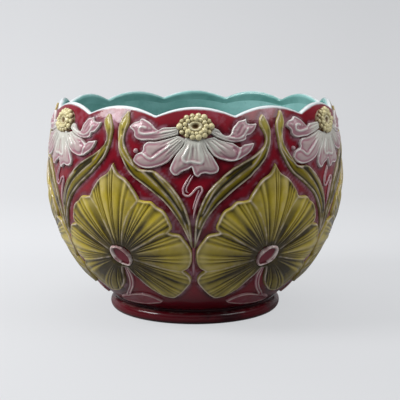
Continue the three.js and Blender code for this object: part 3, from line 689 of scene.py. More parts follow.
def grown(tree, name, base, material, **values):
    """A plain mesh object from a node tree that works on a base mesh. Input names are written with underscores."""
    carrier = bpy.data.objects.new(name, base)
    bpy.context.collection.objects.link(carrier)
    modifier = carrier.modifiers.new(tree.name, "NODES")
    modifier.node_group = tree
    sockets = {item.name: item.identifier for item in tree.interface.items_tree if item.in_out == "INPUT"}
    modifier[sockets["Material"]] = material
    for label, value in values.items():
        modifier[sockets[label.replace("_", " ")]] = value
    depsgraph = bpy.context.evaluated_depsgraph_get()
    mesh = bpy.data.meshes.new_from_object(carrier.evaluated_get(depsgraph), preserve_all_data_layers=True,
                                           depsgraph=depsgraph)
    if not len(mesh.polygons):
        raise RuntimeError(f"{name}: the node tree {tree.name} made no faces")
    carrier.modifiers.clear()
    carrier.data = mesh
    bpy.data.meshes.remove(base)
    mesh.name = name
    return carrier


def outward(obj):
    """Turns a closed mesh's faces outwards."""
    bm = bmesh.new()
    bm.from_mesh(obj.data)
    if bm.calc_volume(signed=True) < 0:
        bmesh.ops.reverse_faces(bm, faces=bm.faces)
        bm.to_mesh(obj.data)
    bm.free()


def line_mesh(name, points, closed=False, **attributes):
    mesh = bpy.data.meshes.new(name)
    edges = [(i, i + 1) for i in range(len(points) - 1)] + ([(len(points) - 1, 0)] if closed else [])
    mesh.from_pydata([tuple(p) for p in points], edges, [])
    stain(mesh, **attributes)
    return mesh


def known_tree(name, build):
    return bpy.data.node_groups.get(name) or build()


def turned(name, outline, material, wall, columns, lobe_depth):
    """A piece turned round the pot's axis from an outline of radii and heights."""
    pot = bpy.context.scene.jardiniere_pot
    base = line_mesh(f"{name}_outline", np.column_stack((outline[:, 0], 0 * outline[:, 0], outline[:, 1])) * MM)
    obj = grown(known_tree("turned_form", turned_form_tree), name, base, material, Columns=columns, Lobes=pot.lobes,
                Lobe_Depth=lobe_depth, Rim_Turn=pot.rim_turn, Belt_Height=pot.belt_height, Rim_Height=wall.rim * MM,
                Rim_Lean=RIM_LEAN)
    outward(obj)
    return obj


# ---------- glazes ----------


class Glaze(Wiring):
    """A fired glaze under construction: colour steps first, then gloss and ripple."""

    def __init__(self, name):
        self.material = bpy.data.materials.new(name)
        self.material.use_nodes = True
        super().__init__(self.material.node_tree)
        self.shader = self.nodes["Principled BSDF"]
        self.place = self.node("ShaderNodeTexCoord").outputs["Object"]

    def tint(self, name):
        return self.node("ShaderNodeAttribute", attribute_name=name).outputs["Fac"]

    def noise(self, scale, detail=4.0):
        return self.node("ShaderNodeTexNoise", {"Vector": self.place, "Scale": scale, "Detail": detail,
                                                "Roughness": 0.55}).outputs["Fac"]

    def spread(self, value, low, high, to_low=0.0, to_high=1.0):
        node = self.node("ShaderNodeMapRange", interpolation_type="SMOOTHSTEP")
        for socket, number in zip(node.inputs, (value, low, high, to_low, to_high)):
            self.feed(socket, number)
        return node.outputs[0]

    def uneven(self, scale, detail, share):
        """Noise about zero."""
        return self.calc("MULTIPLY", self.calc("SUBTRACT", self.noise(scale, detail), 0.5), share)

    def mix(self, share, a, b):
        node = self.node("ShaderNodeMix", {"Factor": share}, data_type="RGBA")
        for label, value in (("A", a), ("B", b)):
            socket = [s for s in node.inputs if s.name == label and s.type == "RGBA"][0]
            self.feed(socket, value if isinstance(value, bpy.types.NodeSocket) else (*value, 1.0))
        return [s for s in node.outputs if s.type == "RGBA"][0]

    def fired(self, colour, ripple=0.3, rough=0.34, coat=0.56):
        """Sets the colour and gives the glaze its gloss, its slow ripple and its fine skin."""
        self.feed(self.shader.inputs["Base Color"], colour)
        for label, value in (("Roughness", rough), ("IOR", 1.5), ("Specular IOR Level", 0.06), ("Coat Weight", coat),
                             ("Coat Roughness", 0.07), ("Coat IOR", 1.52)):
            self.shader.inputs[label].default_value = value
        waves = self.calc("ADD", self.noise(70, 2.0), self.calc("MULTIPLY", self.noise(420, 3.0), 0.18))
        skin = self.node("ShaderNodeBump", {"Strength": ripple, "Distance": 0.0012, "Height": waves})
        self.feed(self.shader.inputs["Normal"], skin.outputs[0])
        self.feed(self.shader.inputs["Coat Normal"], skin.outputs[0])
        return self.material


def toned_glaze(name, deep, thin, lip, mottle=0.35, veil_and_highlight=None):
    """A glaze that is deep in hollows, thin on crests, pale over raised edges and veiled where its bloom tint says,
    which on leaves and straps also carries painted highlights.
    """
    g = Glaze(name)
    tone = g.calc("ADD", g.calc("ADD", g.tint("tone"), g.uneven(55, 5.0, mottle)), g.uneven(260, 3.0, mottle * 0.5),
                  clamp=True)
    colour = g.mix(tone, deep, thin)
    if veil_and_highlight:
        # The veil colour over the bloom tint is the glaze's pale bloom, and on leaves and straps it also paints
        # highlights.
        pale_glaze_and_highlight = g.calc("MULTIPLY", g.tint("bloom"), g.spread(g.noise(38, 4.0), 0.25, 0.75, 0.5, 1.0))
        colour = g.mix(pale_glaze_and_highlight, colour, veil_and_highlight)
    broken = g.calc("MULTIPLY", g.tint("edge"), g.spread(g.noise(95, 5.0), 0.36, 0.6, 0.25, 1.0))
    colour = g.mix(broken, colour, lip)
    return g.fired(colour)


def ground_glaze(c):
    """Burgundy, darker where it pools and with painted shade lower down, white on the rim and turquoise below it on
    the inside.
    """
    g = Glaze("burgundy_ground")
    cloud = g.spread(g.noise(16, 5.0), 0.3, 0.7)
    fleck = g.noise(300, 3.0)
    # The pooling tint also carries painted shade towards the bottom of the wall.
    deep = g.calc("MAXIMUM", g.tint("pool"), g.calc("MULTIPLY", cloud, 0.35))
    colour = g.mix(deep, c.ground_thin, c.ground_deep)
    colour = g.mix(g.calc("MULTIPLY", g.spread(fleck, 0.55, 0.75), 0.25), colour, c.ground_deep)
    colour = g.mix(g.calc("MULTIPLY", g.tint("bloom"), g.spread(g.noise(75, 5.0), 0.42, 0.62)), colour, c.stem_thin)
    inside = g.mix(g.spread(g.noise(22, 4.0), 0.3, 0.7, 0.35, 1.0), c.lining_thin, c.lining_deep)
    colour = g.mix(g.tint("inside"), colour, inside)
    ragged = g.calc("ADD", g.tint("rim"), g.uneven(90, 3.0, 0.5))
    colour = g.mix(g.spread(ragged, 0.15, 0.8), colour, seen(212, 220, 222))
    return g.fired(colour)


def foot_glaze(c):
    """Burgundy, darkened all over as painted shade, pale on the roll's edges partly as a painted highlight, with bare
    clay where the foot rests.
    """
    g = Glaze("burgundy_foot")
    # Besides glaze pooling in the groove, the pooling tint and the raised floor of this noise darken the whole foot
    # as painted shade.
    colour = g.mix(g.calc("MAXIMUM", g.tint("pool"), g.spread(g.noise(30, 5.0), 0.3, 0.7, 0.35, 1.0)),
                   c.ground_thin, c.ground_deep)
    # Pale glaze over the roll's edges, partly painted highlights.
    pale_glaze_and_highlight = g.calc("MULTIPLY", g.tint("edge"), g.spread(g.noise(140, 4.0), 0.45, 0.7, 0.0, 0.15))
    colour = g.mix(pale_glaze_and_highlight, colour, c.lip)
    colour = g.mix(g.tint("bare"), colour, g.mix(g.noise(160, 5.0), c.clay, seen(160, 136, 106)))
    return g.fired(colour)


def lining_glaze(c):
    g = Glaze("turquoise_lining")
    colour = g.mix(g.spread(g.noise(14, 5.0), 0.3, 0.7), c.lining_thin, c.lining_deep)
    colour = g.mix(g.calc("MULTIPLY", g.spread(g.noise(240, 3.0), 0.56, 0.72), 0.3), colour, c.lining_deep)
    return g.fired(colour, ripple=0.2)


def glaze(name, build):
    return bpy.data.materials.get(name) or build(bpy.context.scene.jardiniere_glazes)


def leaf_glaze(c):
    return toned_glaze("olive_leaf", c.leaf_deep, c.leaf_thin, c.lip, mottle=0.5, veil_and_highlight=seen(202, 186, 108))


def strap_glaze(c):
    return toned_glaze("olive_strap", c.strap_deep, c.strap_thin, c.lip, veil_and_highlight=seen(196, 182, 96))


def petal_glaze(c):
    return toned_glaze("white_petal", c.petal_flush, c.petal_thin, seen(232, 230, 226), mottle=0.25)


def boss_glaze(c):
    return toned_glaze("cream_boss", c.boss_deep, c.boss_thin, seen(222, 218, 190), mottle=0.7)


def eye_glaze(c):
    return toned_glaze("burgundy_eye", c.ground_deep, c.eye_pool, seen(234, 220, 214))


def stem_glaze(c):
    return toned_glaze("lilac_stem", c.stem_deep, c.stem_thin, c.lip, mottle=0.5)


# ---------- pieces ----------


def stretch(a, b, count, ends=False):
    return np.linspace(a, b, count + 1)[: None if ends else -1]


def wall_outline(wall, pot):
    """The cast body's section from the middle of its underside, up the outside, over the rim, to its floor."""
    thick = pot.wall / MM
    spigot = wall.seat - 3
    floor = spigot + pot.floor / MM
    corner = pot.corner / MM
    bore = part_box("foot_ring")[1].x / MM - RING_DEPTH
    lip_at = wall.rim - thick / 2 * 0.59
    outside = np.concatenate((stretch(wall.seat, 198, 74), stretch(198, lip_at, 25, True)))
    up_out = [wall.section(h) for h in outside]
    middle = np.array(wall.section(lip_at, -thick / 2))
    out = np.array(wall.section(lip_at)) - middle
    up = np.array((-out[1], out[0]))
    lip = [middle + out * math.cos(a) + up * math.sin(a) for a in np.linspace(0, math.pi, 15)[1:-1]]
    inside_from = wall.seat
    while wall.section(inside_from, -thick)[1] < floor + corner:
        inside_from += 0.25
    down_in = [wall.section(h, -thick) for h in
               np.concatenate((stretch(lip_at, 198, 14), stretch(198, inside_from, 50, True)))]
    start = down_in[-1]
    turn = [(start[0] - corner * (1 - math.cos(a)), start[1] - corner * math.sin(a)) for a in
            np.linspace(0, math.pi / 2, 8)[1:]]
    flat = [(r, turn[-1][1]) for r in stretch(turn[-1][0], 0, 14, True)[1:]]
    under = [(0, spigot), (bore * 0.5, spigot), (bore - 0.6, spigot), (bore - 0.5, wall.seat), (bore + 4, wall.seat)]
    return np.array([*under, *up_out, *lip, *down_in, *turn, *flat]), len(under), len(under) + len(up_out)


class BuildPotWall(Operator):
    """Turns the cast body with its scalloped rim, works out where its glaze pools and paints shade darker towards the
    bottom of the wall
    """

    bl_idname = "jardiniere.pot_wall"
    bl_label = "Pot Wall"

    def execute(self, context):
        pot = context.scene.jardiniere_pot
        wall = Wall(pot)
        section, first, over = wall_outline(wall, pot)
        obj = turned("pot_wall", section, glaze("burgundy_ground", ground_glaze), wall, pot.columns, pot.lobe_depth)
        self.paint(obj.data, wall, section, first, over)
        settle(obj, "ground_glaze", "bowl_body")
        return {"FINISHED"}

    def paint(self, mesh, wall, section, first, over):
        count = len(mesh.vertices)
        co = points_of(mesh)
        row = np.empty(count, np.float32)
        mesh.attributes["row"].data.foreach_get("value", row)
        row = np.rint(row).astype(int)
        turn = np.degrees(np.arctan2(co[:, 0], -co[:, 1]))
        outer = (row >= first) & (row < over)
        under = wall.rim - section[row, 1]
        rim = np.where(row < over, 1 - under / 2.0 * 0.5, 1 - (row - over) / 5.5 * 0.5)
        rim[row >= over + 13] = 0
        inside = ease((row - (over + 3)) / 4.0)
        # One sector's folds stand for all six: the distance to the nearest relief sets how the glaze pools, and
        # painted shade darkens the wall towards its bottom.
        flower = (turn + 30) % 60 - 30
        pool, bloom = np.zeros(count), np.zeros(count)
        keys = np.round(np.stack((flower, co[:, 2]), axis=1), 2)
        spots, back = np.unique(keys[outer], axis=0, return_inverse=True)
        at = wall.spots(spots)
        other = spots - (np.where(spots[:, :1] > 0, 30, -30) * np.array([[1, 0]]))
        near = nearest(wall.spots(other), wall.spots(leaf_outline()), closed=True)
        for edges in (LEFT_STRAP_EDGES, RIGHT_STRAP_EDGES):
            ring = np.vstack((smooth(plant(edges[0]), 2.5), smooth(plant(edges[1]), 2.5)[::-1]))
            near = np.minimum(near, nearest(at, wall.spots(ring), closed=True))
        for petal in PETALS:
            near = np.minimum(near, nearest(at, wall.spots(smooth(plant(petal["outline"]), 2.5))))
        stem = nearest(at, wall.spots(smooth(plant([(-1.4, 104), (-1.4, 60)]), 4)))
        # low: painted shade, the wall darker towards its bottom under the belly
        low = ease((56 - spots[:, 1]) / 34)
        pool[outer] = (0.8 * bump(near, 4.5) + 0.7 * low)[back.ravel()]
        halo = 0.5 * bump(near - 1.2, 1.5) + 0.8 * bump(stem, 3) * bump(spots[:, 1] - 70, 8)
        top = ease((spots[:, 1] - 192) / 22) * (0.6 * bump(np.abs(spots[:, 0]) - 30, 5)
                                                + 0.25 * bump(spots[:, 0] - 11, 6))
        bloom[outer] = (halo + top)[back.ravel()]
        stain(mesh, pool=pool, bloom=bloom, rim=rim, inside=inside)
        mesh.attributes.remove(mesh.attributes["row"])


class BuildLining(Operator):
    """Turns the glaze lining that covers the inside from just under the rim"""

    bl_idname = "jardiniere.lining"
    bl_label = "Lining"

    def execute(self, context):
        pot = context.scene.jardiniere_pot
        wall = Wall(pot)
        section, _, over = wall_outline(wall, pot)
        inner = section[over + 16:]
        run = np.gradient(inner, axis=0)
        run /= np.linalg.norm(run, axis=1)[:, None]
        normal = np.stack((run[:, 1], -run[:, 0]), axis=1)
        normal[-1] = (0, 1)
        fade = np.clip(np.arange(len(inner)) / 5, 0, 1)[:, None]
        coat = pot.lining / MM
        face = inner + normal * (coat * fade - 0.15 * (1 - fade))
        hidden = inner - normal * 0.6
        face[-1, 0] = hidden[-1, 0] = 0
        outline = np.vstack((hidden[::-1], face))
        obj = turned("lining_coat", outline, glaze("turquoise_lining", lining_glaze), wall, pot.columns // 2,
                     pot.lobe_depth)
        obj.data.attributes.remove(obj.data.attributes["row"])
        settle(obj, "lining_glaze", "lining_glaze")
        return {"FINISHED"}


class BuildFoot(Operator):
    """Turns the foot: a roll, a groove under the wall and a bare ring to stand on"""

    bl_idname = "jardiniere.foot"
    bl_label = "Foot"

    def execute(self, context):
        foot = context.scene.jardiniere_foot
        pot = context.scene.jardiniere_pot
        wall = Wall(pot)
        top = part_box("foot_ring")[1].z / MM
        wide, groove, bore = foot.radius / MM, foot.groove_radius / MM, foot.bore / MM
        slot_height, chamfer = foot.groove_width / MM, foot.chamfer / MM
        roll_top = top - slot_height
        middle = roll_top * 0.5
        roll_depth, neck_depth = 6.6, 1.6
        roll = [(wide - roll_depth + roll_depth * max(math.cos(a), 0.0) ** 0.8, middle + middle * math.sin(a))
                for a in np.linspace(-math.pi / 2, math.pi / 2, 25)]
        neck = [(groove + neck_depth * (1 - math.sin(a)), roll_top + slot_height / 2 * (1 - math.cos(a)))
                for a in np.linspace(0.2, math.pi - 0.2, 9)]
        outline = [(bore, chamfer), (bore + chamfer, 0), (wide - 11, 0), *roll[1:], *neck, (groove + 1.2, top + 0.2),
                   (bore + 6, top + 0.2), (bore + 0.4, top), (bore, top - 0.6), (bore, top * 0.5), (bore, chamfer)]
        obj = turned("turned_foot", np.array(outline), glaze("burgundy_foot", foot_glaze), wall,
                     pot.columns * 2 // 3, 0.0)
        mesh = obj.data
        co = points_of(mesh)
        radius, height = np.hypot(co[:, 0], co[:, 1]), co[:, 2]
        upper_edge = bump(height - roll_top + 0.5, 0.9) * ease((radius - groove - 1) / 1.5)
        stain(
            mesh,
            bare=ease((0.7 - height) / 0.6) + ease((bore + 0.4 - radius) / 0.3),
            # Pale glaze broken over the roll's upper edge, also standing in for its highlight, and a painted
            # highlight line just above the bare ring.
            edge=upper_edge + 0.6 * bump(height - 1, 0.8),
            # Glaze pooling in the groove, and painted shade that darkens the whole foot and more towards the floor.
            pool=0.7 + 0.5 * bump(radius - groove, 2.2) + 0.4 * ease((5 - height) / 4),
        )
        mesh.attributes.remove(mesh.attributes["row"])
        settle(obj, "ground_glaze", "foot_ring")
        return {"FINISHED"}


def fan_leaf(wall, shape):
    """The fluted leaf: domed lobes between veins, a raised lip and flutes that fan out from the eye."""
    outline = leaf_outline()
    leaf = Relief(wall, outline, np.array([EYE_AT] * len(outline)), rings=50, gather=1.9)
    both = [line for vein in LEAF_VEINS for line in (vein, [(-x, z) for x, z in vein])]
    vein = np.minimum.reduce([leaf.to(line) for line in both])
    out = np.linalg.norm(leaf.spots - wall.spots(np.array(EYE_AT)), axis=-1)
    around = np.arange(len(outline)) / len(outline)
    rng = np.random.default_rng(7)
    wander = sum(rng.uniform(0.15, 0.5) * np.sin(2 * np.pi * (k * around + rng.random())) for k in (3, 5, 8, 13, 19))
    phase = shape.flutes * around + wander
    wave = 0.5 + 0.5 * np.cos(2 * np.pi * phase)[:, None] * np.ones(leaf.rise.shape)
    bold, dark = (np.interp(phase, np.arange(-3, shape.flutes + 4), rng.random(shape.flutes + 7))[:, None]
                  for _ in range(2))
    valley, crest = (1 - wave) ** 2.5 * (0.5 + dark), wave**4 * (0.3 + bold)
    flute = 0.7 * crest - 1.3 * valley + 0.3
    clear = ease(leaf.edge / 4.5) * ease((out - 12) / 12) * (1 - 0.7 * bump(vein, 2.0))
    dome = ease(np.minimum(leaf.edge, vein + 2.0) / 16)
    lip = bump(leaf.edge - 1.5, 0.8)
    leaf.rise = (leaf.shoulder(1.8, shape.leaf_height / MM) + shape.leaf_crown / MM * dome + 0.5 * lip
                 + shape.flute_depth / MM * flute * clear + 0.6 * bump(vein, 1.0) * ease(leaf.edge / 3)
                 - 3.4 * ease((13 - out) / 3))
    off_axis, height = np.abs(leaf.flat[..., 0]), leaf.flat[..., 1]
    high = ease((height - 66) / 96)
    # inner: a painted highlight, a paler and veiled patch on the upper inner lobe.
    inner = bump(leaf.flat[..., 0] - 15.5, 5) * bump(height - 122, 12)
    # outer: a painted reflection of glare, paler on the lower outer lobes and veiled near their edges.
    outer = ease((off_axis - 14) / 8) * ease((120 - height) / 40)
    # by_place carries the painted highlight and the painted glare as well as the leaf's lighter top.
    by_place = 0.04 + 0.32 * high + 0.34 * inner + 0.14 * outer - 0.3 * ease((height - 140) / 14)
    by_flute = (0.3 * crest - 0.5 * valley + 0.45 * (bold - 0.5)) * clear
    leaf.tint(
        tone=(by_place + by_flute + 0.5 * ease((out - 16) / 40) - 0.25 * bump(leaf.edge - 3.4, 1.3)
              - 0.9 * bump(out - 14, 3.2)),
        edge=0.8 * lip + 0.5 * bump(vein, 0.8) * ease((out - 13) / 4) + 0.22 * crest * clear,
        # The bloom tint is the glaze's pale bloom with the painted highlight and the painted glare added.
        bloom=(0.5 * ease((out - 30) / 22) * ease((bold - 0.35) / 0.5) * bump(leaf.edge - 7, 6)
               + 0.6 * inner * ease((bold - 0.1) / 0.5) + 0.35 * outer * bump(leaf.edge - 5, 5)),
    )
    return leaf


class BuildFanLeaves(Operator):
    """Moulds the six fluted leaves"""

    bl_idname = "jardiniere.fan_leaves"
    bl_label = "Fan Leaves"

    def execute(self, context):
        leaf = fan_leaf(Wall(context.scene.jardiniere_pot), context.scene.jardiniere_relief)
        for k in range(1, SECTORS + 1):
            moulded(f"fluted_leaf_{k}", [leaf], leaf_axis(k), leaf_hand(k), glaze("olive_leaf", leaf_glaze),
                    "leaf_glaze", f"fan_leaf_{k}")
        return {"FINISHED"}


def leaf_eye(wall):
    """The eye: a pool of glaze inside a raised lip, with a narrow crescent pool beside it."""
    rim = [(EYE_AT[0] + 0.1 + EYE_SCALE * x / EYE_DEGREE, EYE_AT[1] - 0.3 + EYE_SCALE * z) for x, z in EYE_RIM]
    outline = smooth(rim + rim[:1], 0.7)[:-1]
    eye = Relief(wall, outline, np.array([EYE_AT] * len(outline)), rings=24, gather=1.3)
    divider = eye.to([(EYE_AT[0] + x / EYE_DEGREE, EYE_AT[1] + z) for x, z in EYE_DIVIDER])
    lip = bump(eye.edge - 1.6, 0.9)
    eye.rise = (eye.shoulder(1.6, 3.6) - 1.7 * ease((eye.edge - 1.6) / 3) + 0.5 * lip
                + 1.3 * bump(divider, 1.2) * ease(eye.edge / 2))
    eye.tint(tone=0.85 - 0.6 * bump(eye.edge - 3.4, 1.1),
             edge=1.1 * ease((3 - eye.edge) / 1.1) + 1.1 * bump(divider, 0.9))
    return eye


class BuildLeafEyes(Operator):
    """Moulds the eye of each leaf, mirrored on every other one"""

    bl_idname = "jardiniere.leaf_eyes"
    bl_label = "Leaf Eyes"

    def execute(self, context):
        eye = leaf_eye(Wall(context.scene.jardiniere_pot))
        for k in range(1, SECTORS + 1):
            moulded(f"pooled_eye_{k}", [eye], leaf_axis(k), leaf_hand(k), glaze("burgundy_eye", eye_glaze),
                    "eye_glaze", f"leaf_eye_{k}")
        return {"FINISHED"}


def blade(wall, edges, step=1.1, rings=20, gather=1.5):
    """A long relief between two edges that run from root to tip."""
    count = max(12, round(len(smooth(edges[0], step))))
    a, b = smooth(edges[0], count=count), smooth(edges[1], count=count)
    middle = (a + b) / 2
    return Relief(wall, np.vstack((a, b[::-1])), np.vstack((middle, middle[::-1])), rings, gather)


def strap(wall, shape, edges, lines, folds, tone):
    """A strap leaf with raised lines, dark folds and a pale tip, which is partly a painted highlight. Its tone is
    that of its plain middle.
    """
    leaf = blade(wall, [plant(e) for e in edges])
    ridge = np.minimum.reduce([leaf.to(plant(line)) for line in lines])
    fold = np.minimum.reduce([leaf.to(plant(line)) for line in folds])
    lip = bump(leaf.edge - 1.3, 0.8)
    root = ease((leaf.flat[..., 1] - 88) / 20)
    leaf.rise = (leaf.shoulder(1.5, shape.strap_height / MM * 0.75) * (0.6 + 0.4 * root) + 0.4 * lip
                 + 0.45 * ease(leaf.edge / 6) * root + 0.75 * bump(ridge, 0.9) * ease(leaf.edge / 2)
                 - 0.8 * bump(fold, 1.2) * ease(leaf.edge / 2))
    # tip: the folded tip's paler glaze, with a painted highlight on it.
    tip = ease((leaf.flat[..., 1] - 176) / 26)
    leaf.tint(
        tone=tone + 0.5 * tip - 0.95 * bump(fold, 1.7) + 0.4 * bump(ridge - 1.4, 1.3) - 0.4 * bump(leaf.edge - 3, 1),
        edge=0.8 * lip + 0.55 * bump(ridge, 0.7),
        bloom=0.55 * tip * ease(leaf.edge / 2.5),
    )
    return leaf


class BuildStrapLeaves(Operator):
    """Moulds the two strap leaves of each plant"""

    bl_idname = "jardiniere.strap_leaves"
    bl_label = "Strap Leaves"

    def execute(self, context):
        wall, shape = Wall(context.scene.jardiniere_pot), context.scene.jardiniere_relief
        sides = {
            "left": strap(wall, shape, LEFT_STRAP_EDGES, LEFT_STRAP_LINES, LEFT_STRAP_FOLDS, 0.38),
            "right": strap(wall, shape, RIGHT_STRAP_EDGES, RIGHT_STRAP_LINES, RIGHT_STRAP_FOLDS, 0.28),
        }
        for k in range(1, SECTORS + 1):
            for side, leaf in sides.items():
                moulded(f"arching_strap_{side}_{k}", [leaf], flower_axis(k), 1, glaze("olive_strap", strap_glaze),
                        "strap_glaze", f"strap_leaf_{side}_{k}")
        return {"FINISHED"}


class BuildStems(Operator):
    """Moulds the plants' stems and the leaves' stalks with their sheaths"""

    bl_idname = "jardiniere.stems"
    bl_label = "Stems and Stalks"

    def execute(self, context):
        wall = Wall(context.scene.jardiniere_pot)
        material = glaze("lilac_stem", stem_glaze)
        stem = blade(wall, [plant(e) for e in STEM_EDGES], rings=12)
        stem.rise = stem.shoulder(1.4, 1.7)
        bloom = bump(stem.flat[..., 1] - 70, 7)
        stem.tint(tone=0.1 + 0.7 * bloom + 0.3 * ease(stem.edge / 1.5), edge=0.35 * bloom)
        stalk = blade(wall, STALK_EDGES, rings=16)
        ridge = np.minimum.reduce([stalk.to(line) for line in STALK_RIDGES])
        stalk.rise = stalk.shoulder(1.5, 1.5) + 0.9 * bump(ridge, 1.1) * ease(stalk.edge / 1.5)
        stalk.tint(tone=0.8 * bump(ridge, 1.1), edge=0.7 * bump(ridge, 0.7))
        sheath = blade(wall, SHEATH_EDGES, rings=18)
        lip = bump(sheath.edge - 1.4, 0.9)
        sheath.rise = sheath.shoulder(1.6, 1.9) + 0.5 * lip - 0.5 * ease((sheath.edge - 2) / 4)
        sheath.tint(tone=0.1 + 0.4 * lip, edge=0.6 * lip)
        for k in range(1, SECTORS + 1):
            moulded(f"lilac_stem_{k}", [stem], flower_axis(k), 1, material, "stem_glaze", f"plant_stem_{k}")
            moulded(f"ridged_stalk_{k}", [stalk, sheath], leaf_axis(k), leaf_hand(k), material, "stem_glaze",
                    f"leaf_stalk_{k}")
        return {"FINISHED"}


def petal(wall, shape, drawn):
    """A petal pleated from the boss outwards, flushed towards its end, with its raised lines and its grooves."""
    outline = smooth(plant(drawn["outline"]), 0.85)
    form = Relief(wall, outline, on_spine(outline, plant(drawn["spine"])), rings=26, gather=1.5)
    lines = np.minimum.reduce([form.to(plant(line)) for line in drawn["lines"]])
    grooves = np.minimum.reduce([form.to(plant(line)) for line in drawn["grooves"]])
    out = np.linalg.norm(form.spots - wall.spots(plant([BOSS_AT]))[0], axis=-1)
    away = (form.flat - plant([BOSS_AT])[0]) * (2.55, 1)
    turn = np.arctan2(away[..., 1], away[..., 0])
    wave = 0.5 + 0.5 * np.cos(46 * turn + 2.6 * np.sin(5 * turn) + 1.5 * np.sin(11 * turn + 1))
    pleat = 0.5 * wave**2 - (1 - wave) ** 4
    clear = ease(form.edge / 3) * ease((out - 15) / 6) * (1 - 0.8 * bump(lines, 1.6)) * ease((43 - out) / 10)
    lip = bump(form.edge - 0.9, 0.7)
    form.rise = (form.shoulder(1.1, shape.petal_height / MM * 0.7) + 1.3 * ease(form.edge / 7) + 0.4 * lip
                 + 0.6 * bump(lines, 1.0) * ease(form.edge / 2) - 0.9 * bump(grooves, 1.3) * ease(form.edge / 2)
                 + 0.5 * pleat * clear)
    far = ease((out - 22) / 20)
    form.tint(
        tone=(0.98 - 0.54 * far - 0.45 * bump(grooves, 1.4) + 0.36 * pleat * clear + 0.3 * bump(lines, 1.1)
              - 0.5 * far * bump(form.edge - 2.8, 1.0) - 0.5 * far * bump(lines - 2, 0.9)),
        edge=(0.35 + 0.75 * far) * lip + 0.75 * bump(lines, 0.8),
    )
    return form


def knob(wall):
    """The small round knob beside the second petal."""
    turn = np.linspace(0, 2 * math.pi, 37)[:-1]
    outline = plant([KNOB_AT]) + np.stack((np.cos(turn), 2.5 * np.sin(turn)), axis=1)
    form = Relief(wall, outline, plant([KNOB_AT] * len(outline)), rings=10)
    form.rise = form.shoulder(2.2, 2.2)
    form.tint(tone=0.2, edge=0.5 * ease((form.edge - 1) / 1.5))
    return form


class BuildBlossoms(Operator):
    """Moulds the five curled petals of each flower"""

    bl_idname = "jardiniere.blossoms"
    bl_label = "Blossoms"

    def execute(self, context):
        wall, shape = Wall(context.scene.jardiniere_pot), context.scene.jardiniere_relief
        forms = [petal(wall, shape, drawn) for drawn in PETALS] + [knob(wall)]
        for k in range(1, SECTORS + 1):
            moulded(f"curled_petals_{k}", forms, flower_axis(k), 1, glaze("white_petal", petal_glaze), "petal_glaze",
                    f"blossom_{k}")
        return {"FINISHED"}


def oval(size, count):
    """The boss's oval on the panel, at a share of its size."""
    turn = np.linspace(0, 2 * math.pi, count + 1)[:-1]
    centre = plant([BOSS_AT])[0]
    across = BOSS_HALF[0] / BOSS_DEGREE
    return centre + np.stack((np.cos(turn) * across, np.sin(turn) * BOSS_HALF[1]), axis=1) * size


class BuildBosses(Operator):
    """Moulds the flowers' bosses and sets their beads"""

    bl_idname = "jardiniere.bosses"
    bl_label = "Flower Bosses"

    def execute(self, context):
        wall, shape = Wall(context.scene.jardiniere_pot), context.scene.jardiniere_relief
        outline = oval(0.98, 150)
        boss = Relief(wall, outline, plant([BOSS_AT] * len(outline)), rings=34, gather=1.25)
        q = boss.share
        ring = bump(q - 0.29, 0.08)
        boss.rise = (boss.shoulder(3.0, shape.boss_height / MM * 0.55) + 1.6 * bump(q - 0.3, 0.2) + 0.6 * ring
                     - 2.2 * bump(q, 0.16))
        boss.tint(tone=0.3 + 0.6 * ring - 0.6 * bump(q, 0.17), edge=0.6 * ring)
        tree = known_tree("bead_ring", bead_ring_tree)
        material = glaze("cream_boss", boss_glaze)
        for k in range(1, SECTORS + 1):
            moulded(f"cupped_boss_{k}", [boss], flower_axis(k), 1, material, "boss_glaze", f"blossom_boss_{k}")
            for name, size, raised, share, seed in (("beads", 0.82, 0.5, 1.0, 11), ("florets", 0.56, 0.72, 0.84, 5)):
                path = wall.spots(oval(size, 96) + (flower_axis(k), 0), shape.boss_height / MM * raised) * MM
                beads = grown(tree, f"boss_{name}_{k}", line_mesh("bead_line", path, closed=True), material,
                              Beads=shape.beads + (seed == 11), Radius=shape.bead_radius * share, Spread=0.27,
                              Seed=seed + k)
                outward(beads)
                co = points_of(beads.data)
                above = np.hypot(co[:, 0], co[:, 1]) - wall.section(co[:, 2])[0]
                stain(beads.data, tone=ease((above - 2.2) / 3.2))
                settle(beads, "boss_glaze")
        return {"FINISHED"}


class BuildTendrils(Operator):
    """Trails the curling tendril between each pair of strap leaves"""

    bl_idname = "jardiniere.tendrils"
    bl_label = "Tendrils"

    def execute(self, context):
        wall, shape = Wall(context.scene.jardiniere_pot), context.scene.jardiniere_relief
        tree = known_tree("slip_trail", slip_trail_tree)
        for k in range(1, SECTORS + 1):
            trails = []
            for i, line in enumerate(TENDRIL_LINES):
                flat = smooth(plant(line), 1.0)
                share = np.linspace(0, 1, len(flat))
                width = np.clip(np.minimum(share, 1 - share) * 6 + 0.3, 0.3, 1.0) * (1.0 if i == 0 else 0.72)
                path = wall.spots(flat + (flower_axis(k), 0), 0.6) * MM
                trail = grown(tree, f"trail_{i}", line_mesh("tendril_line", path, width=width),
                              glaze("lilac_stem", stem_glaze), Radius=shape.trail_radius, Sides=14, Step=0.0009)
                outward(trail)
                trails.append(trail.data)
                bpy.data.objects.remove(trail)
            mesh = joined(f"trailed_tendril_{k}", trails)
            stain(mesh, tone=0.9, edge=0.45)
            piece(f"trailed_tendril_{k}", mesh, glaze("lilac_stem", stem_glaze), "stem_glaze", f"flower_tendril_{k}")
        return {"FINISHED"}


# ---------- stage ----------


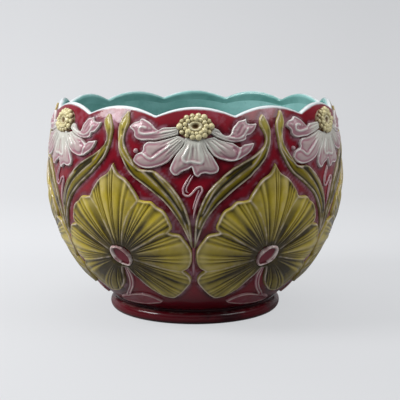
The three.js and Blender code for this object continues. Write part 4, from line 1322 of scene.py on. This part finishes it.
def sweep_material():
    """A pale paper sweep that keeps the pot's shadow, stays pale to the camera with painted light falloff across it,
    and is clear from behind.
    """
    material = bpy.data.materials.new("paper_sweep")
    material.use_nodes = True
    w = Wiring(material.node_tree)
    w.nodes.clear()
    place = w.node("ShaderNodeTexCoord").outputs["Object"]
    split = w.node("ShaderNodeSeparateXYZ", {0: place})

    def together(operation, *falls):
        """Several levels as one. Each runs along an axis, from a start to an end, from one value to another."""
        parts = [w.node("ShaderNodeMapRange", dict(enumerate((split.outputs[axis], *span)))).outputs[0]
                 for axis, *span in falls]
        return functools.reduce(lambda a, b: w.calc(operation, a, b), parts)

    # near: painted light falloff, lighter on the left, darker to the pot's right, lighter towards the back and darker
    # higher up the backdrop.
    near = together("MULTIPLY", ("X", -0.3, 0.3, 1.04, 0.9), ("X", 0.35, 0.8, 1.0, 1.12), ("Y", -0.25, 0.3, 1.0, 1.1),
                    ("Z", 0.004, 0.045, 1.0, 0.9), ("Z", 0.045, 0.5, 1.0, 0.9))
    far = together("MINIMUM", ("Y", -0.42, -0.35, 0.8, 1.0), ("X", -1.5, -0.5, 0.77, 1.0), ("X", 0.5, 1.5, 1.0, 0.8))
    shown = together("MAXIMUM", ("Y", -0.42, -0.35, 1.0, 0.58), ("X", -1.5, -0.5, 1.0, 0.58),
                     ("X", 0.5, 1.5, 0.58, 1.0))
    to_camera = w.node("ShaderNodeLightPath").outputs["Is Camera Ray"]
    from_behind = w.node("ShaderNodeNewGeometry").outputs["Backfacing"]
    paper = w.node("ShaderNodeBsdfDiffuse", {"Color": (*seen(160, 160, 162), 1)})
    light = w.node("ShaderNodeEmission", {"Color": (*seen(249, 251, 254), 1),
                                          "Strength": w.calc("MULTIPLY", near, far)})
    mix = w.node("ShaderNodeMixShader", {0: w.calc("MULTIPLY", to_camera, shown), 1: paper.outputs[0],
                                         2: light.outputs[0]})
    clear = w.node("ShaderNodeMixShader", {0: from_behind, 1: mix.outputs[0],
                                           2: w.node("ShaderNodeBsdfTransparent").outputs[0]})
    w.node("ShaderNodeOutputMaterial", {"Surface": clear.outputs[0]})
    return material


class BuildStage(Operator):
    """Sets the paper sweep, the lamps, the room's light and the camera"""

    bl_idname = "jardiniere.stage"
    bl_label = "Stage"

    def execute(self, context):
        setup = context.scene.jardiniere_stage
        front, back, bend, top, half_width = -0.42, 0.3, 0.45, 2.6, 3.5
        curve = [(back + bend * math.sin(a), bend - bend * math.cos(a)) for a in np.linspace(0, math.pi / 2, 17)[1:]]
        section = [(front, 0.0), (back, 0.0), *curve, (back + bend, top)]
        points = [(x, y, z) for y, z in section for x in (-half_width, half_width)]
        faces = [(2 * i, 2 * i + 1, 2 * i + 3, 2 * i + 2) for i in range(len(section) - 1)]
        mesh = bpy.data.meshes.new("sweep")
        mesh.from_pydata(points, [], faces)
        mesh.shade_smooth()
        mesh.materials.append(sweep_material())
        sweep = bpy.data.objects.new("sweep", mesh)
        context.collection.objects.link(sweep)
        aim = Vector((0, 0, 0.12))
        self.lamp(context, "overhead_lamp", (0.0, 0.35, 1.3), aim, (1.3, 0.8), setup.top_power)
        self.lamp(context, "left_lamp", (-1.27, -0.45, 1.12), aim, (0.7, 0.8), setup.left_power)
        self.lamp(context, "right_lamp", (1.1, -0.62, 1.2), aim, (0.9, 0.9), setup.right_power)
        self.room(context, setup)
        turn = setup.camera_turn
        lens = bpy.data.cameras.new("camera")
        lens.lens, lens.sensor_width = setup.lens, 36
        camera = bpy.data.objects.new("camera", lens)
        side = 0.0055  # metres that the camera stands to the right of the pot's axis
        camera.location = (setup.camera_distance * math.sin(turn) + side * math.cos(turn),
                           -setup.camera_distance * math.cos(turn) + side * math.sin(turn), setup.camera_height)
        camera.rotation_euler = (math.pi / 2 - setup.camera_pitch, 0, turn)
        context.collection.objects.link(camera)
        context.scene.camera = camera
        context.scene.view_settings.view_transform = "Standard"
        return {"FINISHED"}

    def lamp(self, context, name, place, aim, size, power):
        light = bpy.data.lights.new(name, "AREA")
        light.shape = "RECTANGLE"
        light.size, light.size_y = size
        light.energy = power
        obj = bpy.data.objects.new(name, light)
        obj.location = place
        obj.rotation_euler = (aim - Vector(place)).to_track_quat("-Z", "Y").to_euler()
        context.collection.objects.link(obj)

    def room(self, context, setup):
        """Light that grows from the walls to the ceiling. The camera itself sees plain pale walls."""
        world = bpy.data.worlds.new("room")
        world.use_nodes = True
        w = Wiring(world.node_tree)
        way = w.node("ShaderNodeTexCoord").outputs["Generated"]
        height = w.node("ShaderNodeSeparateXYZ", {0: way}).outputs["Z"]
        climb = w.node("ShaderNodeMapRange", dict(enumerate((height, 0.1, 0.85, setup.walls, setup.ceiling))),
                       interpolation_type="SMOOTHSTEP")
        to_camera = w.node("ShaderNodeLightPath").outputs["Is Camera Ray"]
        shown = w.node("ShaderNodeMix", {"Factor": to_camera, "A": climb.outputs[0], "B": 0.77})
        back = w.nodes["Background"]
        w.feed(back.inputs["Color"], (0.95, 0.97, 1.0, 1))
        w.feed(back.inputs["Strength"], shown.outputs["Result"])
        context.scene.world = world


class JardinierePanel(Panel):
    """Lists the jardiniere's sizes, colours and building steps"""

    bl_idname = "VIEW3D_PT_jardiniere"
    bl_label = "Jardiniere"
    bl_space_type = "VIEW_3D"
    bl_region_type = "UI"
    bl_category = "Jardiniere"

    def draw(self, context):
        scene = context.scene
        for group in (scene.jardiniere_pot, scene.jardiniere_foot, scene.jardiniere_relief,
                      scene.jardiniere_glazes, scene.jardiniere_stage):
            box = self.layout.box()
            for name in group.bl_rna.properties.keys():
                if name not in ("rna_type", "name"):
                    box.prop(group, name)
        for step in STEPS:
            self.layout.operator(step.bl_idname)


STEPS = (BuildPotWall, BuildLining, BuildFoot, BuildFanLeaves, BuildLeafEyes, BuildStrapLeaves, BuildStems,
         BuildBlossoms, BuildBosses, BuildTendrils, BuildStage)
GROUPS = {"jardiniere_pot": PotShape, "jardiniere_foot": FootShape, "jardiniere_relief": ReliefShape,
          "jardiniere_glazes": GlazeColours, "jardiniere_stage": StageSetup}


def register():
    for cls in (*GROUPS.values(), *STEPS, JardinierePanel):
        bpy.utils.register_class(cls)
    for name, cls in GROUPS.items():
        setattr(bpy.types.Scene, name, PointerProperty(type=cls))


def unregister():
    for name in GROUPS:
        delattr(bpy.types.Scene, name)
    for cls in reversed((*GROUPS.values(), *STEPS, JardinierePanel)):
        bpy.utils.unregister_class(cls)


def main():
    register()
    for step in STEPS:
        getattr(bpy.ops.jardiniere, step.bl_idname.split(".")[1])()


if __name__ == "__main__":
    main()
